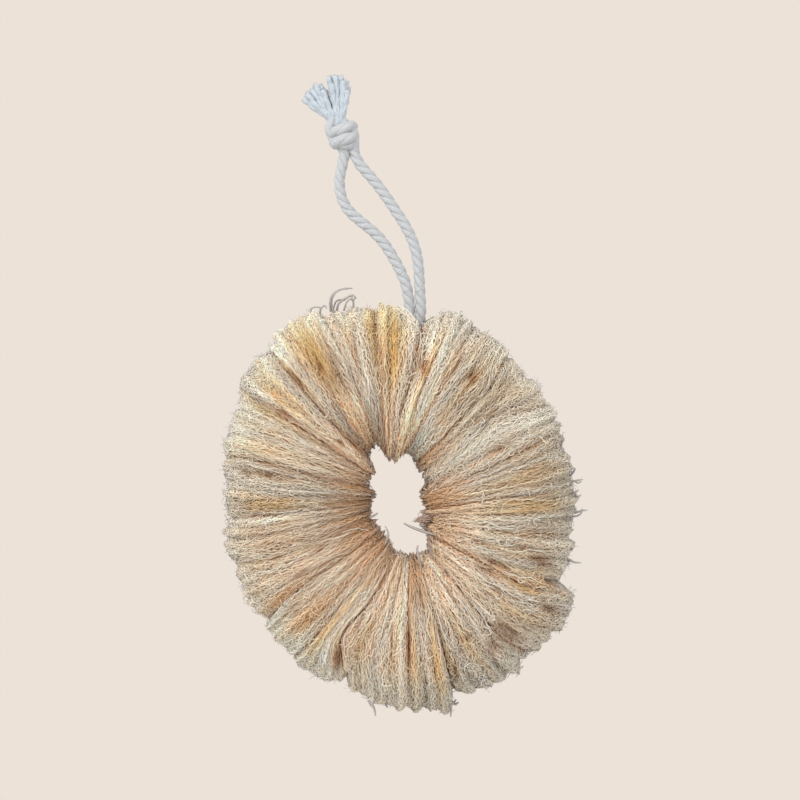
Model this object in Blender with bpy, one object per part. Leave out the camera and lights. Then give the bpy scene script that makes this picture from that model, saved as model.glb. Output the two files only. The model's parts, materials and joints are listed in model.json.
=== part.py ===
"""Loofah ring body brush: slices of dried loofah threaded on one cotton cord.

The cord runs once round the ring through a hole in every slice. Its two ends
leave side by side at the top, spread into an eye for a hook, and are tied in a
knot. Beyond the knot each end is combed out into a tassel.

Frame, in metres: +Z up, the ring's face looks along -Y, left is -X, and the
origin is the crotch under the knot, where a hook bears when the brush hangs.
"""

import math

import bmesh
import bpy
from mathutils import Matrix, Vector

for old in list(bpy.data.objects):
    bpy.data.objects.remove(old, do_unlink=True)

MM = 0.001

# ---- cord and ring dimensions ---------------------------------------------
CORD_R = 2.3 * MM
BORE_R = 2.85 * MM  # hole through each slice for the cord

RING_X, RING_Z = 21.6 * MM, -152.0 * MM  # centre of the ring
OUT_MEAN, OUT_OVAL = 83.6 * MM, 6.5 * MM  # outer radius and how oval it is
OUT_TILT = math.radians(110.5)  # direction of the ring's long axis
HOLE_LONG, HOLE_SHORT = 24.5 * MM, 12.0 * MM  # half-axes of the finger hole
HOLE_TILT = math.radians(112.0)
HALF_DEPTH = 29.0 * MM  # half thickness of a slice, front to back
BACK_FLAT = 24.5 * MM  # slices are pressed flat on the back, at this y
RIM = 0.93  # a slice's cut face, as a share of its middle section
SLICE_GAP = math.radians(1.0)  # half the gap left between neighbours

# Where one slice ends and the next begins, in degrees round the ring from +X.
CUTS = (
    85.5, 98, 109, 122, 131, 142, 164, 183, 199, 218, 234, 249,
    272.5, 287, 309, 332, 351, 368, 384, 398, 412, 427, 445.5,
)
LOBES = (0.0, 1.2, 0.8, 0.0, -0.6, 0.4, -0.4, 0.6)  # mm, spread of the slices' reach
LOBE_STRIDE = 5  # steps through LOBES from one slice to the next

EXIT = math.radians(CUTS[0])  # the two cord ends leave between last and first slice
EXIT_OFF = 2.45 * MM  # half the distance between them
EXIT_BEND_R = 3.6 * MM  # how tightly an end turns from the ring up to the exit
EXIT_MARGIN = math.radians(3.0)  # left free between that turn and the ring's loop
LOOP_STEPS = 66
CHANNEL_W, CHANNEL_Y = 11.2 * MM, 13.4 * MM  # room for the ends between two slices
CHANNEL_IN, CHANNEL_OUT = 3.5 * MM, 46.0 * MM  # its reach either side of the loop

# A rounded cord end: (distance from the tip in cord radii, share of the radius).
ROUND = ((0.0, 0.28), (0.10, 0.52), (0.32, 0.78), (0.62, 0.94), (1.0, 1.0))

# ---- collections and materials --------------------------------------------
parts = bpy.data.collections.new("loofah_ring_brush")
cutters = bpy.data.collections.new("cutters")
for collection in (parts, cutters):
    bpy.context.scene.collection.children.link(collection)


def material(name, colour, roughness):
    mat = bpy.data.materials.new(name)
    mat.use_nodes = True
    shader = mat.node_tree.nodes["Principled BSDF"]
    shader.inputs["Base Color"].default_value = (*colour, 1.0)
    shader.inputs["Roughness"].default_value = roughness
    shader.inputs["Metallic"].default_value = 0.0
    return mat


LOOFAH = material("loofah", colour=(0.56, 0.42, 0.28), roughness=0.9)
COTTON = material("cotton_cord", colour=(0.66, 0.67, 0.68), roughness=0.85)


# ---- building helpers -------------------------------------------------------
def hide_helper(ob):
    ob.hide_render = True
    ob.display_type = "WIRE"


def mesh_object(name, bm, mat=None):
    """A visible part of the given material or, without one, a hidden helper."""
    mesh = bpy.data.meshes.new(name)
    bm.to_mesh(mesh)
    bm.free()
    ob = bpy.data.objects.new(name, mesh)
    if mat:
        parts.objects.link(ob)
        mesh.materials.append(mat)
    else:
        cutters.objects.link(ob)
        hide_helper(ob)
    return ob


def box(name, size, centre=(0.0, 0.0, 0.0)):
    """A helper box whose origin stays at the frame's origin."""
    bm = bmesh.new()
    bmesh.ops.create_cube(bm, size=1.0)
    bmesh.ops.scale(bm, vec=size, verts=bm.verts)
    bmesh.ops.translate(bm, vec=centre, verts=bm.verts)
    return mesh_object(name, bm)


def set_origin(ob, pivot):
    """Move the origin to pivot and leave the surface where it is."""
    ob.data.transform(Matrix.Translation(-pivot))
    ob.location = pivot


def add_boolean(ob, other, operation):
    modifier = ob.modifiers.new(operation.lower() + "_" + other.name, "BOOLEAN")
    modifier.operation = operation
    modifier.solver = "EXACT"
    modifier.object = other


def cord(name, points, shares, radius=CORD_R):
    """A round cord along the points, each with its own share of the radius."""
    curve = bpy.data.curves.new(name, "CURVE")
    curve.dimensions = "3D"
    curve.fill_mode = "FULL"
    curve.bevel_depth = radius
    curve.bevel_resolution = 2
    curve.use_fill_caps = True
    spline = curve.splines.new("POLY")
    spline.points.add(len(points) - 1)
    for spline_point, point, share in zip(spline.points, points, shares):
        spline_point.co = (*point, 1.0)
        spline_point.radius = share
    spline.use_smooth = True
    curve.materials.append(COTTON)
    ob = bpy.data.objects.new(name, curve)
    parts.objects.link(ob)
    return ob


def cord_helper(name, points, shares, radius=CORD_R):
    """A cord turned into a closed helper mesh, its caps welded."""
    ob = cord(name, points, shares, radius)
    graph = bpy.context.evaluated_depsgraph_get()
    mesh = bpy.data.meshes.new_from_object(ob.evaluated_get(graph))
    bm = bmesh.new()
    bm.from_mesh(mesh)
    bmesh.ops.remove_doubles(bm, verts=bm.verts, dist=1e-6)
    bmesh.ops.recalc_face_normals(bm, faces=bm.faces)
    bpy.data.objects.remove(ob, do_unlink=True)
    bpy.data.meshes.remove(mesh)
    return mesh_object(name, bm)


# ---- the ring's shape, as functions of the angle round it -------------------
def outer(angle):
    return OUT_MEAN + OUT_OVAL * math.cos(2 * (angle - OUT_TILT))


def hole(angle):
    cos, sin = math.cos(angle - HOLE_TILT), math.sin(angle - HOLE_TILT)
    return HOLE_LONG * HOLE_SHORT / math.hypot(HOLE_SHORT * cos, HOLE_LONG * sin)


def core(angle):
    """Radius of the cord's centre line, midway through the slices."""
    return (outer(angle) + hole(angle)) / 2


def half_width(angle):
    return (outer(angle) - hole(angle)) / 2


def polar(radius, angle, y=0.0, off=0.0):
    """The point at this radius and angle from the ring's centre, moved off sideways."""
    return Vector((
        RING_X + radius * math.cos(angle) - off * math.sin(angle),
        y,
        RING_Z + radius * math.sin(angle) + off * math.cos(angle),
    ))


# ---- lines through points -----------------------------------------------------
def catmull(points, steps):
    """A smooth Catmull-Rom line through the points."""
    padded = [2 * points[0] - points[1], *points, 2 * points[-1] - points[-2]]
    line = []
    for i in range(1, len(padded) - 2):
        p0, p1, p2, p3 = padded[i - 1 : i + 3]
        for k in range(steps):
            t = k / steps
            square = (2 * p0 - 5 * p1 + 4 * p2 - p3) * t**2
            cube = (3 * p1 - p0 - 3 * p2 + p3) * t**3
            line.append(0.5 * (2 * p1 + (p2 - p0) * t + square + cube))
    line.append(padded[-2].copy())
    return line


def distances(line):
    """How far along the line each of its points lies."""
    run = [0.0]
    for start, end in zip(line, line[1:]):
        run.append(run[-1] + (end - start).length)
    return run


def point_at(line, distance):
    """The point this many metres along the line."""
    run = distances(line)
    distance = min(max(distance, 0.0), run[-1])
    for i in range(len(run) - 1):
        if distance <= run[i + 1]:
            share = (distance - run[i]) / (run[i + 1] - run[i])
            return line[i].lerp(line[i + 1], share)
    return line[-1].copy()


def where_z(line, z):
    """How far along a falling line it reaches height z."""
    run = distances(line)
    for i in range(len(line) - 1):
        above, below = line[i].z, line[i + 1].z
        if (above - z) * (below - z) <= 0 and above != below:
            return run[i] + (run[i + 1] - run[i]) * (above - z) / (above - below)
    raise ValueError(z)


# ---- the hanging loop -----------------------------------------------------------
# Centre lines of its two legs as (x, z) in mm, from the knot down to the ring.
LEFT_LEG = (
    (-2.9, 2.6), (-3.9, -2.2), (-5.0, -8.3), (-4.2, -15.3), (-1.2, -21.2),
    (4.1, -26.2), (10.0, -31.0), (14.7, -36.2), (18.4, -41.9), (21.6, -47.7),
    (24.0, -53.4), (25.2, -59.0), (25.9, -64.5),
)
RIGHT_LEG = (
    (2.1, 2.4), (4.2, -1.6), (8.0, -5.9), (12.4, -11.2), (16.6, -17.1),
    (20.6, -23.0), (24.3, -28.9), (27.1, -34.8), (28.9, -40.7), (29.8, -46.8),
    (30.2, -53.0), (30.5, -59.0), (30.8, -64.5),
)
LEG_STEPS = 6
PIECE_STEP = 4.5 * MM  # rough spacing of the sections along a piece

# Where the soft cord is taken to bend, from the top down: (height, distance from
# there to the middle of the rounded end of the cord above and below).
BENDS = (
    (-20.0 * MM, 2.6 * MM),
    (-45.0 * MM, 2.5 * MM),
    (-53.4 * MM, 3.2 * MM),
    (-61.2 * MM, 2.85 * MM),
)
# The pieces of one leg, each ending at the bend in the same place in BENDS.
PIECE_NAMES = (
    "cord_leg_{}_upper", "cord_leg_{}_lower", "cord_neck_{}_upper", "cord_neck_{}_lower",
)

LEG_TOP = 0.3 * MM  # height at which the legs come out of the knot's throats
THROAT_TOP_Z, THROAT_BEND_Z = 8.5 * MM, 4.6 * MM
THROAT_LEAD = 2.0 * MM  # last stretch of a throat, following the leg's line
THROAT_GAP = 0.45 * MM  # between a throat's end and the leg


def cord_piece(name, line, start, end, round_start):
    """The stretch of line from start to end, rounded below and, if asked, above."""
    head = [(start, 1.0)]
    if round_start:
        head = [(start + back * CORD_R, share) for back, share in ROUND]
    tail = [(end - back * CORD_R, share) for back, share in reversed(ROUND)]
    first, last = head[-1][0], tail[0][0]
    count = max(1, round((last - first) / PIECE_STEP))
    middle = [(first + (last - first) * k / count, 1.0) for k in range(1, count)]
    stations = head + middle + tail
    cord(name, [point_at(line, where) for where, _ in stations], [share for _, share in stations])


def hanging_leg(side, leg, throat_x):
    """One leg in four pieces; returns the knot's throat above it, a helper."""
    line = catmull([Vector((x * MM, 0.0, z * MM)) for x, z in leg], LEG_STEPS)
    top = where_z(line, LEG_TOP)
    mouth = [
        Vector((throat_x, 0.0, THROAT_TOP_Z)),
        Vector((line[0].x, 0.0, THROAT_BEND_Z)),
        point_at(line, top - THROAT_LEAD),
        point_at(line, top - THROAT_GAP),
    ]
    throat = cord_helper(f"throat_{side}", mouth, [1.0] * len(mouth))
    start = top
    for i, (name, (bend_z, to_end)) in enumerate(zip(PIECE_NAMES, BENDS)):
        bend = where_z(line, bend_z)
        cord_piece(name.format(side), line, start, bend - to_end + CORD_R, round_start=i > 0)
        start = bend + to_end - CORD_R
    return throat


throats = [
    hanging_leg("left", LEFT_LEG, throat_x=-2.6 * MM),
    hanging_leg("right", RIGHT_LEG, throat_x=0.6 * MM),
]

# ---- the cord inside the ring ------------------------------------------------------
lowest_z, lowest_to_end = BENDS[-1]
exit_top = (lowest_z - lowest_to_end + CORD_R - RING_Z) / math.sin(EXIT)  # radius of the tips
exit_core = core(EXIT)


def exit_run(side):
    """From the top of one cord end down into the ring; side is -1 left, 1 right."""
    lift = exit_core + EXIT_BEND_R
    straight = [exit_top - back * CORD_R for back, _ in ROUND]
    straight += [
        exit_top - CORD_R + (lift - exit_top + CORD_R) * k / 4 for k in range(1, 4)
    ]
    run = [polar(radius, EXIT, off=-side * EXIT_OFF) for radius in straight]
    for k in range(5):
        turn = math.pi / 2 * k / 4
        aside = EXIT_OFF + EXIT_BEND_R * (1 - math.cos(turn))
        run.append(polar(lift - EXIT_BEND_R * math.sin(turn), EXIT, off=-side * aside))
    return run


def ring_path():
    """Down the left end, once round the ring, and up the right end."""
    turn_angle = math.atan2(EXIT_OFF + EXIT_BEND_R, exit_core)
    start = EXIT + turn_angle + EXIT_MARGIN
    end = EXIT + 2 * math.pi - turn_angle - EXIT_MARGIN
    angles = [start + (end - start) * k / LOOP_STEPS for k in range(LOOP_STEPS + 1)]
    loop = [polar(core(angle), angle) for angle in angles]
    return exit_run(-1) + loop + exit_run(1)[::-1]


path = ring_path()
rounding = [share for _, share in ROUND]
cord("cord_in_ring", path, rounding + [1.0] * (len(path) - 2 * len(ROUND)) + rounding[::-1])
bore = cord_helper("bore_cutter", path, [1.0] * len(path), radius=BORE_R)

channel_low, channel_high = exit_core - CHANNEL_IN, exit_core + CHANNEL_OUT
channel = box("channel_cutter", (CHANNEL_W, CHANNEL_Y, channel_high - channel_low))
channel.location = polar((channel_low + channel_high) / 2, EXIT)
channel.rotation_euler = (0.0, math.pi / 2 - EXIT, 0.0)


# ---- the loofah slices ---------------------------------------------------------------
def loofah_slice(number, start, end):
    """A thick round slice squeezed to a wedge: thin at the hole, full at the rim."""
    mid, half = (start + end) / 2, (end - start) / 2 - SLICE_GAP
    extra = LOBES[(number * LOBE_STRIDE) % len(LOBES)] * MM
    bm = bmesh.new()
    bmesh.ops.create_cone(
        bm, cap_ends=True, cap_tris=False, segments=16, radius1=1.0, radius2=1.0, depth=2.0
    )
    sides = [e for e in bm.edges if abs(e.verts[0].co.z - e.verts[1].co.z) > 1.0]
    bmesh.ops.subdivide_edges(bm, edges=sides, cuts=2)
    for vert in bm.verts:
        along, turn = vert.co.z, math.atan2(vert.co.y, vert.co.x)
        full = 1.0 - (1.0 - RIM) * abs(along) ** 3
        angle = mid + along * half
        # Only the half away from the finger hole reaches further.
        wide = half_width(angle) + extra * max(math.cos(turn), 0.0) ** 2
        y = min(HALF_DEPTH * full * math.sin(turn), BACK_FLAT)
        vert.co = polar(core(angle) + wide * full * math.cos(turn), angle, y)
    bmesh.ops.recalc_face_normals(bm, faces=bm.faces)
    ob = mesh_object(f"loofah_slice_{number:02d}", bm, LOOFAH)
    # The slice turns about the cord, which passes through its middle.
    set_origin(ob, polar(core(mid), mid))
    ob.data.shade_smooth()
    ob.data.set_sharp_from_angle(angle=math.radians(40))
    add_boolean(ob, bore, "DIFFERENCE")
    return ob


slices = [
    loofah_slice(number, math.radians(start), math.radians(end))
    for number, (start, end) in enumerate(zip(CUTS, CUTS[1:]), 1)
]
for beside_exit in (slices[0], slices[-1]):
    add_boolean(beside_exit, channel, "DIFFERENCE")

# ---- the knot ---------------------------------------------------------------------------
KNOT_HALF = (6.0 * MM, 5.2 * MM, 6.4 * MM)  # half-axes of its body
KNOT_CENTRE = (-3.6 * MM, 0.0, 10.6 * MM)
WRAP_FLATTEN = 0.88  # the wraps' size front to back, as a share of their width
SEAT_W, SEAT_Y, SEAT_H = 1.0 * MM, 3.2 * MM, 5.0 * MM  # block standing on the crotch
SEAT_X = -0.25 * MM


def wrap(name, centre, major, minor, tilt):
    """A turn of cord round the knot: a helper ring, tilted in degrees about Y."""
    bpy.ops.mesh.primitive_torus_add(
        major_segments=16, minor_segments=8, major_radius=major * MM, minor_radius=minor * MM,
        location=Vector(centre) * MM, rotation=(0.0, math.radians(tilt), 0.0),
    )
    ob = bpy.context.active_object
    ob.name = name
    ob.scale = (1.0, WRAP_FLATTEN, 1.0)
    bpy.ops.object.transform_apply(location=False, rotation=False, scale=True)
    for owner in list(ob.users_collection):
        owner.objects.unlink(ob)
    cutters.objects.link(ob)
    hide_helper(ob)
    return ob


def tie_knot():
    """A rounded body joined with two wraps, the throats and the hook's seat."""
    bm = bmesh.new()
    bmesh.ops.create_uvsphere(bm, u_segments=14, v_segments=9, radius=1.0)
    bmesh.ops.scale(bm, vec=KNOT_HALF, verts=bm.verts)
    bmesh.ops.translate(bm, vec=KNOT_CENTRE, verts=bm.verts)
    knot = mesh_object("knot", bm, COTTON)
    for piece in (
        wrap("upper_wrap", centre=(-4.1, 0.0, 13.3), major=4.9, minor=2.35, tilt=-24.0),
        wrap("lower_wrap", centre=(-3.2, 0.0, 8.7), major=4.5, minor=2.2, tilt=-20.0),
        *throats,
        box("hook_seat_block", (SEAT_W, SEAT_Y, SEAT_H), (SEAT_X, 0.0, SEAT_H / 2)),
    ):
        add_boolean(knot, piece, "UNION")


tie_knot()

# ---- the combed-out ends --------------------------------------------------------------
TASSEL_R = 1.9 * MM
TASSEL_Z = 19.4  # mm, height of both tassels' roots
YARN_R = 0.85 * MM
YARN_ROOT, YARN_TIP = 1.55, 0.7  # shares of the yarn radius at its two ends
YARN_STEPS = 3
ROOT_SPREAD, MIDDLE_SPREAD = 0.4, 0.35  # how early the yarns part, front to back

# Ends of the yarns, (x, y, z) in mm.
LEFT_TIPS = (
    (-21.4, -1.0, 27.0), (-20.0, 1.6, 30.6), (-18.4, -2.4, 32.6),
    (-16.4, 0.6, 34.4), (-14.6, -1.8, 34.6), (-14.0, 2.4, 32.8),
)
RIGHT_TIPS = (
    (-10.0, -1.4, 37.6), (-8.2, 1.8, 37.9), (-5.9, -2.2, 37.8), (-3.6, 1.0, 38.0),
    (-1.6, -1.2, 35.4), (-0.9, 2.2, 32.8), (-1.4, -2.6, 30.6),
)


def tassel(name, root_x, tips, bow_x, bow_z):
    """A trunk that opens into separate yarns. Its origin is where it can flex.

    bow_x and bow_z shift the middle of every yarn off the straight line, in mm.
    """
    pivot = Vector((root_x, 0.0, TASSEL_Z)) * MM
    bow = Vector((bow_x * MM, 0.0, bow_z * MM))
    bm = bmesh.new()
    bmesh.ops.create_uvsphere(bm, u_segments=10, v_segments=7, radius=TASSEL_R)
    bmesh.ops.translate(bm, vec=pivot, verts=bm.verts)
    ob = mesh_object(name, bm, COTTON)
    for number, tip in enumerate(tips, 1):
        tip = Vector(tip) * MM
        side = Vector((0.0, tip.y * MIDDLE_SPREAD, 0.0))
        middle = pivot.lerp(tip, 0.5) + bow + side
        line = catmull([pivot + side * ROOT_SPREAD, middle, tip], YARN_STEPS)
        # Full thickness at the root, the plain radius from halfway, fine at the tip.
        last = len(line) - 1
        shares = [YARN_ROOT - (YARN_ROOT - 1.0) * min(1.0, 2.0 * j / last) for j in range(last)]
        yarn = cord_helper(f"{name}_yarn_{number}", line, shares + [YARN_TIP], radius=YARN_R)
        add_boolean(ob, yarn, "UNION")
    set_origin(ob, pivot)


tassel("tassel_left", root_x=-8.7, tips=LEFT_TIPS, bow_x=0.4, bow_z=1.0)
tassel("tassel_right", root_x=-4.3, tips=RIGHT_TIPS, bow_x=-0.2, bow_z=0.2)
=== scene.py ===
"""A loofah back scrubber: 22 soft loofah slices threaded on a cotton cord into a ring.

The ring stands in the XZ plane with its front towards -Y. The cord's two legs rise from its top
to a knot near the origin, with two tassels above. Sizes are in millimetres unless marked; meshes
are scaled to metres as they are made. Directions round the ring start at +X and turn towards +Z.
"""
import json
import math
from collections import namedtuple

import bpy
import numpy as np
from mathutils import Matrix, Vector


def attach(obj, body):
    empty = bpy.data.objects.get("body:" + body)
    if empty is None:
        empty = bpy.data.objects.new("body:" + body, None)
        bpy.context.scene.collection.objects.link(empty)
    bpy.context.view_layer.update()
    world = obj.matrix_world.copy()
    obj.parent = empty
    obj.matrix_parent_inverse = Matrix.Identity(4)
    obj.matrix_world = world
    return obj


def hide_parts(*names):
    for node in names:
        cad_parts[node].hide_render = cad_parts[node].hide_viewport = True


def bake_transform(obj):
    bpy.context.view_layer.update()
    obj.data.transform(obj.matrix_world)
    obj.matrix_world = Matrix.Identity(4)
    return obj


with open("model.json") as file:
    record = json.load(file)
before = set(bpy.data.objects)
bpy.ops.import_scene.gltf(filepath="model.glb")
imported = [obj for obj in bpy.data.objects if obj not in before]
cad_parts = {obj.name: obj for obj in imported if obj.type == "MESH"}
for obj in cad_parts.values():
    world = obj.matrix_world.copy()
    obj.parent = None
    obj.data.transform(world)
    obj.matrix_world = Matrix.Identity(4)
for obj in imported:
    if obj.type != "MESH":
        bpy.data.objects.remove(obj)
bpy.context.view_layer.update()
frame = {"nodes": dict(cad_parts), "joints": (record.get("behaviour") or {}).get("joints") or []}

MM = 0.001
FRONT = np.array([0.0, -1.0, 0.0])
JOINTS = {joint["name"]: joint for joint in frame["joints"]}
scene = bpy.context.scene

# ---- numbers and curves ------------------------------------------------------


def linear(red, green, blue):
    """An 8-bit display colour as linear light."""
    c = np.array([red, green, blue], float) / 255.0
    return np.where(c <= 0.04045, c / 12.92, ((c + 0.055) / 1.055) ** 2.4)


def unit(vectors):
    return vectors / np.maximum(np.linalg.norm(vectors, axis=-1, keepdims=True), 1e-12)


def unit_range(values):
    return np.clip(values, 0, 1)


def ramp(values, start, width):
    """0 at start, 1 a width further on; a negative width runs the other way."""
    return unit_range((values - start) / width)


def bell(values, width, power=2):
    return np.exp(-((values / width) ** power))


def mix(colour, target, amount):
    return colour + (target - colour) * amount[..., None]


def dot(first, second):
    return (first * second).sum(-1, keepdims=True)


class Noise:
    """A smooth random function of two coordinates: a sum of waves."""

    def __init__(self, rng, count, x_waves, y_waves):
        """x_waves, y_waves: (low, high) waves per unit along each coordinate."""
        self.x_rate = rng.uniform(*x_waves, count) * rng.choice([-1, 1], count) * math.tau
        self.y_rate = rng.uniform(*y_waves, count) * rng.choice([-1, 1], count) * math.tau
        self.phase = rng.uniform(0, math.tau, count)
        self.size = rng.uniform(0.5, 1.0, count)
        self.size /= math.sqrt((self.size**2).sum() / 2)

    def __call__(self, x, y):
        waves = zip(self.x_rate, self.y_rate, self.phase, self.size)
        return sum(size * np.cos(kx * x + ky * y + phase) for kx, ky, phase, size in waves)


def extended(points):
    """The points with one more beyond each end, as a Catmull-Rom curve needs."""
    points = np.array(points, float)
    before, after = 2 * points[0] - points[1], 2 * points[-1] - points[-2]
    return np.concatenate([[before], points, [after]])


def catmull(controls, span, f):
    """The place a fraction f along one span of a Catmull-Rom curve."""
    a, b, c, d = controls[span : span + 4]
    return 0.5 * (2 * b + (c - a) * f + (2 * a - 5 * b + 4 * c - d) * f**2
                  + (3 * b - a - 3 * c + d) * f**3)


def curve_through(points, stations):
    """A curve with the same number of stations on every span."""
    controls = extended(points)
    places = np.linspace(0, len(points) - 1 - 1e-6, stations)
    return np.array([catmull(controls, int(place), place - int(place)) for place in places])


def smooth_line(points, step):
    """A curve with even steps, and the length run at each of its stations."""
    controls = extended(points)
    curve = []
    for span in range(len(points) - 1):
        chord = np.linalg.norm(controls[span + 2] - controls[span + 1])
        count = max(2, int(chord / step))
        curve += [catmull(controls, span, f) for f in np.arange(count) / count]
    curve = np.array(curve + [controls[-2]])
    length = np.concatenate([[0], np.cumsum(np.linalg.norm(np.diff(curve, axis=0), axis=1))])
    run = np.linspace(0, length[-1], max(4, int(round(length[-1] / step))) + 1)
    return np.stack([np.interp(run, length, curve[:, axis]) for axis in range(3)], -1), run


def frames(line):
    """Tangent, normal and side along a line, carried without twist."""
    tangent = unit(np.gradient(line, axis=0))
    normal = np.zeros_like(tangent)
    carried = FRONT
    for i, ahead in enumerate(tangent):
        carried = carried - (carried @ ahead) * ahead
        carried = carried / max(np.linalg.norm(carried), 1e-9)
        normal[i] = carried
    return tangent, normal, np.cross(tangent, normal)


# ---- meshes ------------------------------------------------------------------


def new_mesh(name, verts, faces, material, **attributes):
    """A smooth mesh from verts in mm and a list of face arrays, one row for each face.
    Attributes: tint is a colour, grain a vector, one for each vertex."""
    mesh = bpy.data.meshes.new(name)
    mesh.vertices.add(len(verts))
    mesh.vertices.foreach_set("co", (verts * MM).astype(np.float32).ravel())
    loops = np.concatenate([rows.ravel() for rows in faces]).astype(np.int32)
    sizes = np.concatenate([np.full(len(rows), rows.shape[1]) for rows in faces])
    starts = (np.cumsum(sizes) - sizes).astype(np.int32)
    mesh.loops.add(len(loops))
    mesh.loops.foreach_set("vertex_index", loops)
    mesh.polygons.add(len(starts))
    mesh.polygons.foreach_set("loop_start", starts)
    mesh.update(calc_edges=True)
    mesh.validate()
    mesh.polygons.foreach_set("use_smooth", np.full(len(mesh.polygons), True))
    if "tint" in attributes:
        rgba = np.ones((len(verts), 4), np.float32)
        rgba[:, :3] = attributes["tint"]
        layer = mesh.color_attributes.new("tint", "FLOAT_COLOR", "POINT")
        layer.data.foreach_set("color", rgba.ravel())
    if "grain" in attributes:
        layer = mesh.attributes.new("grain", "FLOAT_VECTOR", "POINT")
        layer.data.foreach_set("vector", attributes["grain"].astype(np.float32).ravel())
    mesh.materials.append(material)
    ob = bpy.data.objects.new(name, mesh)
    scene.collection.objects.link(ob)
    return ob


def merged(parts):
    """Several (verts, face arrays, vertex values) as one."""
    verts, faces, values, first = [], [], [], 0
    for part_verts, part_faces, part_values in parts:
        verts.append(part_verts)
        faces += [rows + first for rows in part_faces]
        values.append(part_values)
        first += len(part_verts)
    return np.concatenate(verts), faces, np.concatenate(values)


def sweep(points, radii, out, side, turns):
    """Rings of vertices round lines, then faces: sides, start caps, end caps.
    points, out and side are (lines, stations, 3); radii end in an axis for the turns."""
    cosine, sine = np.cos(turns)[:, None], np.sin(turns)[:, None]
    around = cosine * out[..., None, :] + sine * side[..., None, :]
    rings = points[..., None, :] + radii[..., None] * around
    ids = np.arange(rings.size // 3).reshape(rings.shape[:3])
    beside = np.roll(ids, -1, 2)
    quads = np.stack([ids[:, :-1], beside[:, :-1], beside[:, 1:], ids[:, 1:]], -1)
    return rings.reshape(-1, 3), [quads.reshape(-1, 4), ids[:, 0, ::-1], ids[:, -1]]


def thin_tubes(points, radii, normals):
    """Closed three-sided tubes."""
    tangent = unit(np.gradient(points, axis=1))
    normal = unit(normals - dot(normals, tangent) * tangent)
    turns = math.pi / 2 + math.tau * np.arange(3) / 3
    return sweep(points, radii[..., None], np.cross(tangent, normal), normal, turns)


def grain_vectors(x, y, z):
    return np.stack(np.broadcast_arrays(x, y, z), -1).reshape(-1, 3)


# ---- materials ---------------------------------------------------------------


def set_inputs(node, inputs):
    """Sets a node's inputs; an input given another node's output is linked to it."""
    for key, value in inputs.items():
        if isinstance(value, bpy.types.NodeSocket):
            node.id_data.links.new(value, node.inputs[key])
        else:
            node.inputs[key].default_value = value


def add_node(tree, kind, inputs=None, **settings):
    node = tree.nodes.new(kind)
    for key, value in settings.items():
        setattr(node, key, value)
    set_inputs(node, inputs or {})
    return node


def new_material(name):
    material = bpy.data.materials.new(name)
    material.use_nodes = True
    tree = material.node_tree
    return material, tree, tree.nodes["Principled BSDF"]


def attribute(tree, name, output):
    return add_node(tree, "ShaderNodeAttribute", attribute_name=name).outputs[output]


def multiplied(tree, first, second):
    inputs = {"Factor": 1.0, 6: first, 7: second}
    node = add_node(tree, "ShaderNodeMix", inputs, data_type="RGBA", blend_type="MULTIPLY")
    return node.outputs[2]


def bumped(tree, height, strength, distance):
    """Relief; distance is in metres."""
    inputs = {"Strength": strength, "Distance": distance, "Height": height}
    return add_node(tree, "ShaderNodeBump", inputs).outputs["Normal"]


def grain_noise(tree, squeeze, noise):
    """Noise drawn out along the fibre, which is the grain's Y."""
    scaled = {"Vector": attribute(tree, "grain", "Vector"), "Scale": (1.0, squeeze, 1.0)}
    vector = add_node(tree, "ShaderNodeMapping", scaled).outputs["Vector"]
    return add_node(tree, "ShaderNodeTexNoise", {"Vector": vector, **noise}).outputs["Fac"]


def colour_ramp(tree, factor, *stops):
    """stops: (position, colour) for the ramp's two ends."""
    node = add_node(tree, "ShaderNodeValToRGB", {"Fac": factor})
    for element, (position, colour) in zip(node.color_ramp.elements, stops):
        element.position = position
        element.color = (*colour, 1)
    return node.outputs["Color"]


def fibre_material():
    """Dried plant fibre: its own tint, mottled, with a faint waxy shine."""
    material, tree, shader = new_material("loofah_fibre")
    tint = attribute(tree, "tint", "Color")
    place = add_node(tree, "ShaderNodeTexCoord").outputs["Object"]
    noise = {"Vector": place, "Scale": 900.0, "Detail": 2.0, "Roughness": 0.6}
    spots = add_node(tree, "ShaderNodeTexNoise", noise).outputs["Fac"]
    mottling = {"Value": spots, "From Min": 0.3, "From Max": 0.7, "To Min": 0.84, "To Max": 1.096}
    light = add_node(tree, "ShaderNodeMapRange", mottling).outputs["Result"]
    colour = multiplied(tree, tint, light)
    roughness = {"Value": spots, "To Min": 0.58, "To Max": 0.80}
    set_inputs(shader, {
        "Base Color": colour,
        "Roughness": add_node(tree, "ShaderNodeMapRange", roughness).outputs["Result"],
        "Specular IOR Level": 0.22,
        "Normal": bumped(tree, spots, strength=0.25, distance=0.0002),
    })
    return material


def packed_material():
    """The packed fibre under the loose fibres: darker, with streaks; its tint carries the painted
    shade of the depth.
    """
    material, tree, shader = new_material("loofah_packed_fibre")
    tint = attribute(tree, "tint", "Color")
    noise = {"Scale": 1.3, "Detail": 4.0, "Roughness": 0.7, "Distortion": 0.6}
    streaks = grain_noise(tree, 0.12, noise)
    shades = colour_ramp(tree, streaks, (0.36, (0.74, 0.60, 0.47)), (0.62, (1.12, 1.08, 1.02)))
    set_inputs(shader, {
        "Base Color": multiplied(tree, tint, shades),
        "Roughness": 0.85,
        "Specular IOR Level": 0.2,
        "Normal": bumped(tree, streaks, strength=0.8, distance=0.0006),
    })
    return material


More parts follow.
